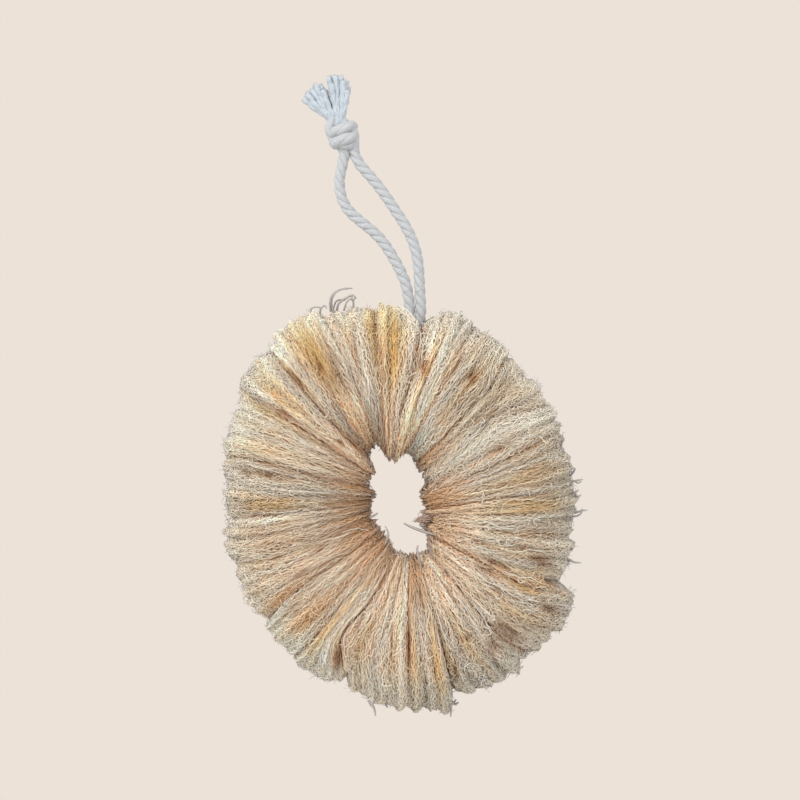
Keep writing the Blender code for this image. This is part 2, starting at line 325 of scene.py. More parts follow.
def cotton_material(name, colour):
    """Undyed cotton: matte, faintly mottled, with fine relief along the yarn."""
    material, tree, shader = new_material(name)
    hair = grain_noise(tree, 0.22, {"Scale": 5.0, "Detail": 3.0, "Roughness": 0.65})
    dark, light = colour * 0.74, np.minimum(colour * 1.08, 1)
    set_inputs(shader, {
        "Base Color": colour_ramp(tree, hair, (0.3, dark), (0.65, light)),
        "Roughness": 0.82,
        "Specular IOR Level": 0.2,
        "Sheen Weight": 0.25,
        "Sheen Roughness": 0.5,
        "Normal": bumped(tree, hair, strength=0.55, distance=0.00025),
    })
    return material


FIBRE = fibre_material()
PACKED = packed_material()
COTTON = cotton_material("cotton_rope", linear(189, 192, 195))
YARN = cotton_material("cotton_yarn", linear(190, 199, 207))

# ---- the ring: shape ---------------------------------------------------------

RING_X, RING_Z = 21.6, -152.0
RING_CENTRE = np.array([RING_X, 0, RING_Z])
HALF_DEPTH = 27.6  # half depth of the packed fibre
BACK = 23.6  # where the back is pressed flat
BORE_R = 3.021
BORE_BEND = 50.0  # radius at which the cord's path bends inside a slice

# The ring's outline without its fuzz: direction in degrees, distance from the ring's centre.
RIM = (
    (0, 77.6), (8, 76.2), (16, 76.4), (22, 76.8), (26, 78.2), (34, 79.8), (44, 79.8), (50, 80.6),
    (54, 82.6), (58, 84.0), (66, 85.8), (74, 87.4), (78, 86.4), (81, 84.0), (85, 83.8),
    (88, 86.5), (92, 88.0), (100, 88.6), (106, 89.0), (109.5, 90.6), (113, 93.2), (117, 94.6),
    (121, 94.6), (124, 92.6), (128, 91.2), (133, 90.6), (137, 88.6), (143, 88.2), (146, 84.6),
    (148.5, 82.8), (156, 82.4), (164, 81.4), (168, 78.4), (173, 76.2), (184, 75.4), (188, 76.8),
    (192, 78.2), (197, 76.8), (204, 78.2), (212, 78.0), (221, 77.4), (226, 78.6), (232, 79.4),
    (236, 82.2), (242, 83.0), (248, 82.6), (251, 82.0), (252.6, 78.4), (254.4, 80.6),
    (258, 84.4), (262, 86.6), (268, 87.4), (274, 88.4), (278, 90.2), (281, 91.8), (284.5, 91.6),
    (286.2, 84.6), (287.5, 84.0), (290, 87.6), (298, 88.2), (304, 88.0), (308, 85.4),
    (312, 87.2), (322, 86.8), (329, 87.4), (333.2, 87.6), (334.6, 76.2), (336, 75.6),
    (340, 77.6), (346, 78.2), (352, 75.8), (360, 77.6),
)
# The hole's ragged outline, in the same columns.
HOLE = (
    (-13.0, 12.0), (-2.7, 12.4), (10.0, 12.0), (22.0, 10.6), (27.9, 11.0), (35.0, 13.2),
    (41.0, 16.6), (50.0, 18.2), (61.8, 19.4), (71.9, 21.6), (75.9, 24.8), (83.7, 24.8),
    (88.6, 23.6), (94.3, 21.2), (101.0, 22.6), (106.0, 24.6), (109.5, 30.4), (114.0, 30.0),
    (121.5, 28.0), (125.5, 20.2), (136.0, 19.0), (144.8, 18.4), (148.8, 14.0), (165.0, 13.4),
    (186.4, 14.2), (206.0, 13.6), (225.9, 14.2), (247.8, 16.1), (264.2, 20.3), (275.0, 21.8),
    (285.1, 22.4), (299.5, 23.6), (309.7, 21.2), (318.0, 15.8), (330.0, 14.2), (347.0, 12.0),
    (357.3, 12.4),
)
# The hole as an ellipse: direction of its long axis, and its two half lengths.
HOLE_TILT, HOLE_LONG, HOLE_SHORT = math.radians(112.0), 24.5, 12.0

# Hollows in the front, also darkened with painted shade: place x, z, length, width, direction in
# degrees, depth.
HOLLOWS = (
    (69.608, -206.58, 7.92, 2.464, 320, 6.5), (61.688, -211.42, 3.96, 2.42, 300, 3.6),
    (83.688, -174.46, 5.72, 2.64, 345, 3.6), (86.768, -195.58, 4.4, 2.2, 330, 3.6),
    (51.128, -206.58, 2.2, 1.54, 300, 2.2), (59.488, -178.42, 6.6, 1.232, 335, 2.6),
    (94.248, -156.86, 1.76, 1.54, 0, 2.6), (87.208, -184.14, 3.52, 1.232, 335, 3.4),
    (-3.872, -123.42, 2.2, 1.144, 130, 2.2), (-12.672, -90.86, 3.52, 1.144, 115, 2.4),
    (32.428, -90.42, 3.52, 2.024, 84, 5.0), (31.988, -75.46, 2.2, 1.32, 80, 3.6),
    (31.768, -82.94, 1.76, 1.056, 90, 3.0), (52.888, -94.82, 3.52, 2.2, 66, 2.2),
    (59.928, -112.42, 5.28, 2.2, 42, 2.2), (-5.632, -93.5, 6.16, 2.2, 113, 1.3),
    (-28.072, -110.22, 5.28, 1.496, 142, 2.2), (-22.352, -96.14, 5.28, 1.32, 128, 2.2),
    (-25.432, -78.98, 2.2, 1.32, 123, 1.8), (-35.552, -137.06, 9.68, 1.32, 172, 2.0),
    (64.328, -125.62, 6.16, 1.496, 26, 2.0), (-5.192, -217.14, 5.28, 2.2, 262, 3.4),
    (18.128, -210.54, 9.68, 0.704, 270, 1.2), (25.608, -210.54, 11.44, 0.88, 270, 2.4),
    (63.448, -175.34, 6.16, 1.496, 335, 2.4), (56.848, -166.54, 4.4, 1.32, 342, 1.8),
    (45.848, -222.86, 4.4, 1.144, 285, 2.2), (-21.032, -179.74, 3.52, 1.76, 215, 1.3),
    (-12.672, -168.74, 3.96, 1.232, 212, 1.5), (4.048, -201.74, 5.28, 0.968, 250, 1.4),
    (62.568, -186.34, 5.28, 1.144, 322, 2.0), (39.248, -71.94, 1.76, 1.32, 80, 1.6),
    (43.648, -188.54, 5.28, 0.88, 300, 1.4), (74.448, -168.74, 3.96, 1.32, 350, 1.8),
)

# The slices, 1 to 22 round the ring: lightness and warmth (orange); how light each is near the
# hole, in the middle and at the rim, partly its own tone and partly painted light and shade
# (lighter rims towards the upper left, darker towards the lower right); depth of the crease at
# its lower-angle side; how curly and how coarse its fibre is; how much yellower (or greyer,
# below 0) it is at the hole and the rim.
Look = namedtuple("Look", "light warm at_hole at_middle at_rim crease curly coarse"
                  " hole_hue rim_hue")
LOOKS = [Look(*row) for row in (
    (1.02, 0.38, 1.04, 0.92, 1.01, 1.00, 0.35, 0.60, -0.02, -0.05),
    (0.97, 0.40, 0.80, 0.96, 1.05, 0.50, 0.40, 0.45, 0.0, 0.0),
    (0.89, 0.72, 1.42, 1.00, 1.28, 0.40, 0.30, 0.20, 0.0, -0.03),
    (0.92, 0.76, 0.88, 1.02, 1.28, 0.55, 0.35, 0.35, 0.0, -0.04),
    (0.98, 0.46, 1.18, 1.00, 0.99, 0.90, 0.40, 0.45, -0.06, -0.07),
    (0.94, 0.46, 1.08, 1.06, 1.10, 0.85, 0.20, 0.25, 0.0, -0.06),
    (0.92, 0.40, 0.88, 0.94, 1.00, 0.65, 0.25, 0.20, 0.12, 0.0),
    (0.97, 0.38, 0.90, 1.01, 0.98, 0.40, 0.20, 0.15, 0.09, 0.0),
    (0.96, 0.66, 1.02, 1.06, 1.08, 0.50, 0.20, 0.10, 0.10, 0.0),
    (0.98, 0.58, 1.00, 1.02, 1.08, 0.40, 0.25, 0.10, 0.09, -0.115),
    (1.02, 0.32, 1.02, 1.11, 1.01, 0.35, 0.25, 0.15, 0.0, -0.13),
    (0.97, 0.26, 1.16, 1.08, 1.00, 1.05, 0.50, 0.35, -0.05, -0.08),
    (0.93, 0.32, 0.96, 1.09, 0.87, 0.90, 0.30, 0.50, 0.09, -0.09),
    (0.91, 0.20, 1.20, 1.00, 0.86, 0.95, 0.95, 0.80, -0.06, -0.06),
    (0.94, 0.22, 1.10, 1.00, 0.90, 0.80, 0.80, 0.80, -0.04, 0.0),
    (0.94, 0.30, 1.08, 0.98, 0.95, 1.15, 1.00, 0.70, 0.05, 0.0),
    (0.89, 0.42, 1.22, 1.03, 0.95, 0.45, 0.35, 0.35, 0.0, 0.0),
    (0.96, 0.50, 1.04, 0.95, 0.92, 0.30, 0.20, 0.25, 0.13, 0.0),
    (0.99, 0.17, 0.96, 0.98, 0.98, 0.60, 0.75, 0.55, 0.0, 0.0),
    (0.96, 0.46, 1.00, 0.89, 1.04, 0.50, 0.70, 0.50, 0.04, -0.02),
    (0.94, 0.52, 1.10, 0.92, 1.10, 0.95, 0.40, 0.45, -0.27, -0.02),
    (0.98, 0.38, 1.36, 1.05, 1.00, 0.45, 0.60, 0.80, -0.02, -0.03),
)]
# Creases that don't run straight out, by the slice at their higher-angle side:
# degrees they are moved at mid-face and at the rim.
DRIFT = {
    1: (-3.0, -2.0), 5: (-1.0, -1.0), 12: (-5.0, 3.4), 15: (1.5, 1.5), 16: (-2.0, 1.8),
    19: (1.0, 3.0), 20: (0.5, -1.5), 21: (1.5, 4.5),
}
# Pale streaks by slice: place across it -1..1, half width, strength, how far from the hole it
# begins 0..1, and for some how far it shifts across towards the hole.
PALE_STREAKS = {
    1: ((-0.85, 0.45, 0.75, 0.0),), 2: ((0.95, 0.32, 0.70, 0.0), (-0.40, 0.25, 0.80, 0.0, 1.0)),
    3: ((-0.55, 0.24, 0.85, 0.0, -0.9),), 4: ((0.20, 0.40, 0.60, 0.1),),
    5: ((0.05, 0.30, 0.35, 0.3),), 6: ((0.45, 0.20, 0.35, 0.2),), 7: ((-0.26, 0.22, 0.70, 0.0),),
    8: ((-0.75, 0.22, 0.70, 0.5), (0.40, 0.45, 0.35, 0.7)), 9: ((-0.85, 0.20, 0.35, 0.4),),
    12: ((0.76, 0.15, 0.95, 0.0),), 14: ((0.55, 0.35, 0.45, 0.5), (-0.2, 0.25, 0.4, 0.6)),
    15: ((-0.75, 0.25, 0.60, 0.4), (0.85, 0.30, 0.55, 0.7)), 16: ((0.10, 0.25, 0.35, 0.1),),
    19: ((0.15, 0.80, 1.0, 0.0, 0.85),),
    20: ((-1.25, 0.55, 1.0, 0.0, 0.75), (0.35, 0.25, 0.35, 0.5)),
    21: ((-0.5, 0.2, 0.3, 0.3),), 22: ((-0.12, 0.34, 0.95, 0.28, -0.55),),
}
# Orange streaks by slice: place across it, half width, strength, how far from the hole 0..1,
# over how much of that way.
ORANGE_STREAKS = {
    1: ((0.60, 0.60, 0.80, 0.74, 0.50),),
    2: ((-0.85, 0.36, 0.80, 0.75, 0.42),),
    3: ((0.10, 0.65, 0.42, 0.80, 0.26),),
}

CREAM = linear(234, 228, 213)
TAN = linear(239, 215, 187)
PALE = linear(246, 240, 226)
# deep fibre brown, also used for painted shade: deep down, in the hollows and in the creases
BROWN = linear(224, 172, 129)
HOLE_TINT = linear(223, 188, 152)
# grey of the edge fuzz; darkened, also the painted shadow at the hole's edge
EDGE = linear(212, 207, 206)
GREY = linear(197, 193, 190)
RIM_TINT = linear(239, 231, 217)
YELLOW = linear(245, 234, 208)
# Multipliers that warm a colour.
WARM_TINT = np.array([0.98, 0.80, 0.50])
GOLD_TINT = np.array([0.985, 0.86, 0.54])  # on the rim of slices 1 to 6
SOFT_TINT = np.array([0.985, 0.84, 0.65])  # on the rim of the others
PINK_TINT = np.array([0.99, 0.78, 0.56])  # on slices 8 to 10


def rim_at(angle):
    degrees, radii = np.array(RIM).T
    return np.interp(angle % math.tau, np.radians(degrees), radii)


def hole_at(angle):
    degrees, radii = np.array(HOLE).T
    start = math.radians(13.0)
    return np.interp((angle + start) % math.tau - start, np.radians(degrees), radii)


def half_turn(angle):
    """An angle brought between minus and plus half a turn."""
    return (angle + math.pi) % math.tau - math.pi


def hollow_depth(places, front):
    """How far the surface is pushed in at (x, z) places from the ring's centre;
    front is 1 on the front and 0 on the back."""
    depths = np.zeros(places.shape[:-1])
    for x, z, length, width, degrees, depth in HOLLOWS:
        cosine, sine = math.cos(math.radians(degrees)), math.sin(math.radians(degrees))
        dx, dz = places[..., 0] - (x - RING_X), places[..., 1] - (z - RING_Z)
        along = (dx * cosine + dz * sine) / length
        across = (dz * cosine - dx * sine) / width
        depths += depth * np.exp(-np.minimum(along**2 + across**2, 30.0))
    return depths * front


class Crease:
    """A crease between two slices: how it wanders, and how deep it runs, along the section."""

    def __init__(self, index):
        rng = np.random.default_rng(700 + index)
        self.wander = Noise(rng, 5, (0.0, 0.0), (0.5, 2.6))
        self.unevenness = Noise(rng, 4, (0.0, 0.0), (0.4, 2.0))
        self.depth = LOOKS[index].crease
        self.mid_drift, self.rim_drift = DRIFT.get(index + 1, (0.0, 0.0))

    def shift(self, phi):
        """Radians the crease moves round the ring at this turn of the section."""
        outward = np.cos(phi)
        drift = self.mid_drift * bell(outward - 0.25, 0.45)
        drift = drift + self.rim_drift * ramp(outward, 0.45, 0.5)
        wander = self.wander(0.0, phi / math.tau) * (0.45 + 0.55 * (1 + outward) / 2)
        return np.radians(drift * unit_range(0.35 - np.sin(phi)) + wander)

    def strength(self, phi):
        return np.clip(self.depth * (0.85 + 0.35 * self.unevenness(0.0, phi / math.tau)), 0.12, 1.25)


CREASES = [Crease(index) for index in range(22)]


class Slice:
    """The soft surface of one slice. t runs across it from -1 to 1; phi turns round its section:
    0 outwards, -90 degrees the front, 180 the hole."""

    def __init__(self, index, node):
        self.number, self.node = index + 1, node
        self.look = LOOKS[index]
        self.low, self.high = CREASES[index], CREASES[(index + 1) % 22]
        self.read_piece()
        self.rim = float(rim_at(self.mid + self.half * np.linspace(-0.9, 0.9, 9)).mean())
        tilt = self.mid - HOLE_TILT
        self.fan = 0.15 * 18.0 + 0.85 * math.hypot(
            HOLE_LONG * math.sin(tilt), HOLE_SHORT * math.cos(tilt))
        # Noise across in degrees and along in turns.
        self.rng = rng = np.random.default_rng(4100 + index)
        self.bundle = Noise(rng, 16, (0.10, 0.34), (0.1, 0.7))
        self.fine = Noise(rng, 12, (0.4, 0.9), (0.4, 1.6))
        self.swell = Noise(rng, 6, (0.02, 0.06), (0.2, 0.7))
        self.ragged = Noise(rng, 8, (0.08, 0.30), (0.0, 0.4))  # the rim's edge
        self.torn = Noise(rng, 8, (0.06, 0.22), (0.0, 0.5))  # the hole's edge
        self.lock = Noise(rng, 18, (0.16, 0.62), (0.2, 1.3))  # lighter and darker clumps
        self.blotch = Noise(rng, 10, (0.05, 0.2), (0.8, 3.0))
        self.arm = float(self.plan(np.array([0.0]), np.array([-1.5]))[3][0])

    def read_piece(self):
        """The pivot, the bore's direction and the angles the CAD slice fills."""
        joint = JOINTS[f"slice_{self.node[-2:]}_turn"]
        self.pivot = np.array(joint["pos_m"]) / MM
        self.axis = np.array(joint["axis"], float)
        at_pivot = math.atan2(self.pivot[2] - RING_Z, self.pivot[0] - RING_X)
        places = np.array([v.co for v in frame["nodes"][self.node].data.vertices], float) / MM
        x, _, z = (places - RING_CENTRE).T
        radius = np.hypot(x, z)
        angles = half_turn(np.arctan2(z, x) - at_pivot)[radius > np.percentile(radius, 60)]
        self.mid = at_pivot + (angles.min() + angles.max()) / 2
        self.half = (angles.max() - angles.min()) / 2 + math.radians(0.95)

    def noise_place(self, t, phi):
        return t * math.degrees(self.half), phi / math.tau

    def angle(self, t, phi):
        """Direction round the ring, with the wandering creases at the two sides."""
        low, high = self.low.shift(phi), self.high.shift(phi)
        # room for the two cord ends between the first slice and the last
        room = math.radians(3.6) * bell(HALF_DEPTH * np.sin(phi), 8.0, 4) * (np.cos(phi) > 0)
        if self.number == 1:
            low = low + room
        elif self.number == 22:
            high = high - room
        return self.mid + t * self.half + low * (1 - t) / 2 + high * (1 + t) / 2

    def plan(self, t, phi):
        """In the ring's plane, from its centre: middle of the section, half of it as a vector,
        that vector's direction and its length."""
        angle = self.angle(t, phi)
        place = self.noise_place(t, phi)
        rim_r = rim_at(angle) - 0.8 + 0.45 * self.ragged(*place)
        tilt = angle - HOLE_TILT
        inner = HOLE_TILT + np.arctan2(HOLE_SHORT * np.sin(tilt), HOLE_LONG * np.cos(tilt))
        inner = angle + 0.85 * half_turn(inner - angle)
        hole_r = hole_at(inner) + 0.5 * self.torn(*place) - 0.1
        rim = np.stack([rim_r * np.cos(angle), rim_r * np.sin(angle)], -1)
        hole = np.stack([hole_r * np.cos(inner), hole_r * np.sin(inner)], -1)
        arm = (rim - hole) / 2
        length = np.linalg.norm(arm, axis=-1)
        return (rim + hole) / 2, arm, arm / length[..., None], length

    def surface(self, t, phi):
        """Smooth surface: place from the ring's centre, unit vectors outwards and across."""
        mid, arm, out, length = self.plan(t, phi)
        flat = mid + arm * np.cos(phi)[..., None]
        place = np.stack([flat[..., 0], HALF_DEPTH * np.sin(phi), flat[..., 1]], -1)
        rise = np.cos(phi) / length
        normal = [rise * out[..., 0], np.sin(phi) / HALF_DEPTH, rise * out[..., 1]]
        across = np.stack([-out[..., 1], np.zeros_like(length), out[..., 0]], -1)
        return place, unit(np.stack(normal, -1)), across

    def ridges(self, t, phi):
        place = self.noise_place(t, phi)
        amount = 0.62 + 0.40 * np.cos(phi)  # deeper towards the rim
        rough = 0.60 + 0.55 * self.look.coarse
        bundles = 0.52 * self.bundle(*place) + 0.18 * self.fine(*place)
        return rough * amount * bundles + 0.5 * self.swell(*place)

    def crease_strength(self, t, phi):
        return np.where(t < 0, self.low.strength(phi), self.high.strength(phi))

    def point(self, t, phi, height, bridge=0.0):
        """A place at a height above the packed fibre; bridge 1 would span the creases."""
        place, normal, _ = self.surface(t, phi)
        width = np.maximum(self.half * self.local_r(phi), 0.5)
        soft = np.minimum(5.0, 0.66 * width)  # how far a crease rounds the side over
        inward = unit_range((1 - np.minimum(np.abs(t), 1.0)) * width / soft)
        rounding = soft * (1 - np.sqrt(1 - (1 - inward) ** 2))
        drop = 0.78 * self.crease_strength(t, phi) * rounding
        dent = hollow_depth(place[..., ::2], unit_range(0.5 - 2.0 * np.sin(phi)))
        lift = height - drop * (1 - bridge) - dent + self.ridges(t, phi)
        place = place + normal * lift[..., None]
        y, bend = place[..., 1], BACK + height * 0.6 - 3
        place[..., 1] = np.where(y > bend, bend + 3 * np.tanh((y - bend) / 3), y)
        return place + RING_CENTRE

    def metric(self, phi):
        """Millimetres along the section for each radian of phi."""
        return np.hypot(self.arm * np.sin(phi), HALF_DEPTH * np.cos(phi))

    def local_r(self, phi):
        """Millimetres across the slice for each radian of the rim."""
        outward = np.cos(phi)
        return self.rim * (1 + outward) / 2 + self.fan * (1 - outward) / 2

    def scatter(self, count, span):
        """Starting places spread evenly over the surface."""
        rng = self.rng
        grid = np.linspace(*span, 721)
        weight = self.local_r(grid) * self.metric(grid)
        total = np.concatenate([[0], np.cumsum((weight[1:] + weight[:-1]) / 2)])
        along = (np.arange(count) + rng.uniform(0, 1, count)) / count
        phi = np.interp(along, total / total[-1], grid)
        golden = np.arange(count) * 0.6180339887
        across = (golden + rng.uniform(0, 1) + rng.uniform(-0.12, 0.12, count)) % 1.0
        return (across * 2 - 1) * 0.97, phi

    def orange_streaks(self, t, reach):
        amount = np.zeros_like(t)
        for centre, wide, strength, at, over in ORANGE_STREAKS.get(self.number, ()):
            amount = amount + strength * bell(t - centre, wide, 4) * bell(reach - at, over)
        return amount

    def pale_streaks(self, t, reach, patch):
        amount = np.zeros_like(t)
        for centre, wide, strength, begin, *lean in PALE_STREAKS.get(self.number, ()):
            across = bell(t - (centre + sum(lean) * (1 - reach)), wide)
            begun = unit_range((reach - begin) / 0.15 + (begin <= 0))
            streak = strength * across * unit_range(0.85 + 0.25 * patch) * begun
            amount = np.maximum(amount, streak)
        return amount

    def colour(self, t, phi, level, odd, points):
        """level runs from 0 deep to 1 on top; odd is one random number a fibre, -1 to 1."""
        number, look = self.number, self.look
        reach = (1 + np.cos(phi)) / 2  # 1 at the rim, 0 at the hole
        degrees, turns = self.noise_place(t, phi)
        patch = self.swell(degrees * 2.2 + 3.0, phi / 3.0)
        lock = self.lock(degrees + 1.2 * self.blotch(degrees, turns), turns)
        # cream on top, brown deep down: partly the deeper fibre's own browner tone, partly painted
        # shade of the gaps between fibres
        cream = np.clip(0.58 + 0.24 * level + 0.18 * odd + 0.18 * lock, 0, 1.1)
        base = mix(TAN, CREAM, cream)
        rim = ramp(reach, 0.84, 0.13)
        # how much painted shade the deep fibre takes; less on these slices
        brown = 0.66 if 5 <= number <= 11 or number in (17, 18, 21) else 0.84
        base = mix(base, BROWN, brown * (0.60 - 0.42 * rim) * (1 - level) ** 1.4)
        # yellow towards the rim, brown towards the hole, and each slice's own hue at both
        base = mix(base, YELLOW, 0.34 * ramp(reach, 0.74, 0.22))
        hole = ramp(reach, 0.36, -0.36)
        base = mix(base, HOLE_TINT, 0.62 * hole)
        for hue in (look.hole_hue * unit_range(1.6 * hole),
                    look.rim_hue * ramp(reach, 0.70, 0.2)):
            base = base * (1 - hue[..., None] * np.array([0.0, 1.0, 2.0]))
        # the slice's warmth; then painted shade in the hollows, warmer and darker where the front is
        # pushed in
        warm = np.clip(0.85 * look.warm + 0.40 * patch + 0.12 * odd, 0, 1.1)
        facing = unit_range(0.5 - points[..., 1] / 12.0)
        dent = hollow_depth((points - RING_CENTRE)[..., ::2], facing)
        warm = warm + 0.16 * np.clip(dent, 0, 2.0)
        base = mix(base, BROWN * 0.66, np.clip(0.30 * dent, 0, 0.80))
        # orange, strongest at mid-face
        front = np.clip(0.9 - 0.8 * np.sin(phi), 0.35, 1)  # the streaks fade on the back
        orange = self.orange_streaks(t, reach) * front
        middle = bell(reach - 0.70, np.where(reach > 0.7, 0.22, 0.26))
        tint = PINK_TINT
        if not 8 <= number <= 10:
            rim_tint = GOLD_TINT if number <= 6 else SOFT_TINT
            tint = mix(WARM_TINT, rim_tint, ramp(reach, 0.72, 0.2))
        amount = (warm * (0.30 + 0.70 * middle) + orange) * (1.0 - 0.25 * level)
        base = base * mix(1.0, tint, np.clip(amount, 0, 1.15))
        # pale streaks and clumps, and the paler rim
        pale = self.pale_streaks(t, reach, patch) * front
        base = mix(base, PALE, 0.92 * pale) * (1 + 0.07 * pale[..., None])
        base = mix(base, PALE, 0.22 * unit_range(lock - 0.9))
        base = mix(base, RIM_TINT, 0.56 * rim * (1 - unit_range(orange)))
        # painted shade: brown in the creases between slices; grey at the outermost edge, and a
        # darker grey at the innermost as painted shadow
        width = self.half * self.local_r(phi)
        near = bell((1 - np.minimum(np.abs(t), 1.0)) * width, 1.1)
        crease = unit_range(self.crease_strength(t, phi))
        base = mix(base, BROWN * 0.80, 0.42 * near * crease * (1 - 0.55 * level))
        grey = 0.56 if 5 <= number <= 18 else 0.32
        base = mix(base, EDGE, grey * ramp(reach, 0.972, 0.028))
        # painted shadow: darker grey along the hole's edge
        base = mix(base, EDGE * 0.62, 0.5 * ramp(reach, 0.035, -0.035))
        uneven = 1 + 0.06 * lock + 0.05 * self.blotch(degrees * 1.7, turns * 1.6)
        # painted light and shade by zone, with the slice's own tone: the look's at_hole, at_middle
        # and at_rim
        stops = (look.at_hole, look.at_hole, look.at_middle, look.at_middle, look.at_rim)
        shade = np.interp(reach, (0.10, 0.30, 0.50, 0.72, 0.93), stops)
        return np.clip(base * (uneven * look.light * shade)[..., None], 0.02, 0.98)


# ---- the ring: packed fibre --------------------------------------------------


def packed_body(piece):
    """A closed soft wedge with a real bore for the cord, grooved along its fibres."""
    around = 84
    phi = np.linspace(-math.pi, math.pi, around, endpoint=False)
    across = np.sin(np.linspace(-math.pi / 2, math.pi / 2, 41))
    t_grid, phi_grid = np.meshgrid(across, phi, indexing="ij")
    fuller_rim = 0.50 * unit_range(np.cos(phi_grid) - 0.45) / 0.55
    outer = piece.point(t_grid, phi_grid, -0.34 + fuller_rim)
    odd = 0.4 * piece.fine(t_grid * 9, phi_grid)
    rings = [*outer]
    # level 0.12: deep, so this tint carries most of the painted shade of the depth
    tints = [*piece.colour(t_grid, phi_grid, 0.12, odd, outer)]
    across_mm = t_grid * piece.half * piece.local_r(phi_grid)
    grains = [grain_vectors(across_mm, phi_grid * 30, 7.0 * (piece.number - 1))]

    def bore(t):
        """A ring of the bore, which follows the cord's path through the pivot."""
        angle = piece.mid + t * piece.half
        from_centre = piece.pivot - RING_CENTRE
        run = t * piece.half * math.hypot(from_centre[0], from_centre[2])
        centre = piece.pivot + piece.axis * run - unit(from_centre) * run**2 / (2 * BORE_BEND)
        radial = np.array([math.cos(angle), 0, math.sin(angle)])
        turned = np.cos(phi)[:, None] * radial - np.sin(phi)[:, None] * FRONT
        return centre + BORE_R * turned

    def add_ring(points, shade, grain_x, grain_y):
        rings.append(points)
        tints.append(np.tile(BROWN * shade, (around, 1)))
        grains.append(grain_vectors(grain_x, grain_y, 3.0))

    def add_face(rim, mouth, steps):
        for step in steps:
            add_ring(rim + (mouth - rim) * step, 0.8, step * 20, phi * 20)

    add_face(outer[-1], bore(0.98), (0.25, 0.6, 1.0))
    for t in (0.5, 0.0, -0.5):
        add_ring(bore(t), 0.7, t * 10, phi * 5)
    add_face(outer[0], bore(-0.98), (1.0, 0.6, 0.25))
    ids = np.arange(len(rings) * around).reshape(-1, around)
    after = np.roll(ids, -1, 0)
    quads = np.stack([ids, after, np.roll(after, -1, 1), np.roll(ids, -1, 1)], -1)
    return new_mesh(f"{piece.node}_core", np.concatenate(rings), [quads.reshape(-1, 4)], PACKED,
                    tint=np.concatenate(tints), grain=np.concatenate(grains))


# ---- the ring: loose fibres --------------------------------------------------
# Each maker returns (points, radii, normals, colours) of a set of fibres.

# Shortest and longest waves along a fibre.
SMALL, MIDDLE, LARGE = (1.7, 2.8), (3.6, 7.0), (11.0, 24.0)


def frizz(rng, arc, waves):
    """A sum of waves along each fibre; waves are (size, (shortest, longest))."""
    def each(low, high):
        return rng.uniform(low, high, len(arc))[:, None]

    total = np.zeros_like(arc)
    for size, span in waves:
        length = each(*span)
        slip = 0.35 * np.sin(arc * 0.9 + each(0, 6.3))
        total += size * each(0.4, 1.5) * np.sin(math.tau * arc / length + slip + each(0, 6.3))
    return total


def fibres(piece, count, length, height, thickness, stations, side_waves, lift_waves,
           span=(-math.pi, math.pi), lean=0.05, stray=0.0, sink=0.9, loose=0.0, cross=0.0,
           bridge=0.0):
    """Fibres running round the section. length, height, thickness: (least, most).
    lean and stray tilt them, stray mostly at the rim; sink buries the ends;
    loose is the share with one free end; cross lets them pass the slice's sides."""
    rng = piece.rng
    count = int(count)
    t_start, phi_start = piece.scatter(count, span)
    full = rng.uniform(*length, count)
    arc = np.linspace(-0.5, 0.5, stations)[None, :] * full[:, None]
    rim = ramp(np.cos(phi_start), 0.1, 0.9)
    tilt = rng.normal(0, 1, count) * (lean + stray * rim)
    wild = rng.uniform(0, 1, count) < 0.10 * (stray > 0)
    tilt = np.where(wild, tilt * 3.0, tilt)
    half_waves = [(size * 0.5, wave_span) for size, wave_span in side_waves]
    along = arc * np.cos(tilt)[:, None] + frizz(rng, arc, half_waves)
    phi_start = phi_start[:, None]
    phi = phi_start + along / piece.metric(phi_start)
    for _ in range(2):  # follow the true arc length
        phi = phi_start + along / piece.metric((phi + phi_start) / 2)
    sideways = arc * np.sin(tilt)[:, None] + frizz(rng, arc, side_waves)
    t = t_start[:, None] + sideways / (piece.half * np.maximum(piece.local_r(phi), 6.0))
    limit = 1.0 + cross * rng.uniform(0, 1, count)[:, None]
    t = np.clip(t, -limit, limit)
    lift = height[0] + (height[1] - height[0]) * rng.uniform(0, 1, count)[:, None]
    lift = lift + frizz(rng, arc, lift_waves)
    place = np.linspace(-1, 1, stations)[None, :]
    lift = lift - sink * ramp(np.abs(place), 0.72, 0.28) ** 1.5
    if loose > 0:
        free = rng.uniform(0, 1, count) < loose
        tip = ramp(place * rng.choice([-1, 1], count)[:, None], 0.5, 0.5)
        lift = lift + free[:, None] * tip**1.4 * rng.uniform(1.0, 2.8, count)[:, None]
    points = piece.point(t, phi, lift, bridge)
    taper = 1 - 0.7 * ramp(np.abs(place), 0.75, 0.25)
    radii = rng.uniform(*thickness, count)[:, None] / 2 * taper
    odd = rng.uniform(-1, 1, count)[:, None]
    colours = piece.colour(t, phi, ramp(lift, -0.1, 1.5), odd, points)
    colours = colours * (1 + 0.045 * rng.normal(0, 1, (count, 1, 1)))
    hue = rng.normal(0, 1, (count, 1, 1)) * np.array([0.5, 0.0, -1.0])
    colours = colours * (1 + 0.035 * hue)
    return points, radii, piece.surface(t, phi)[1], np.clip(colours, 0.02, 0.98)


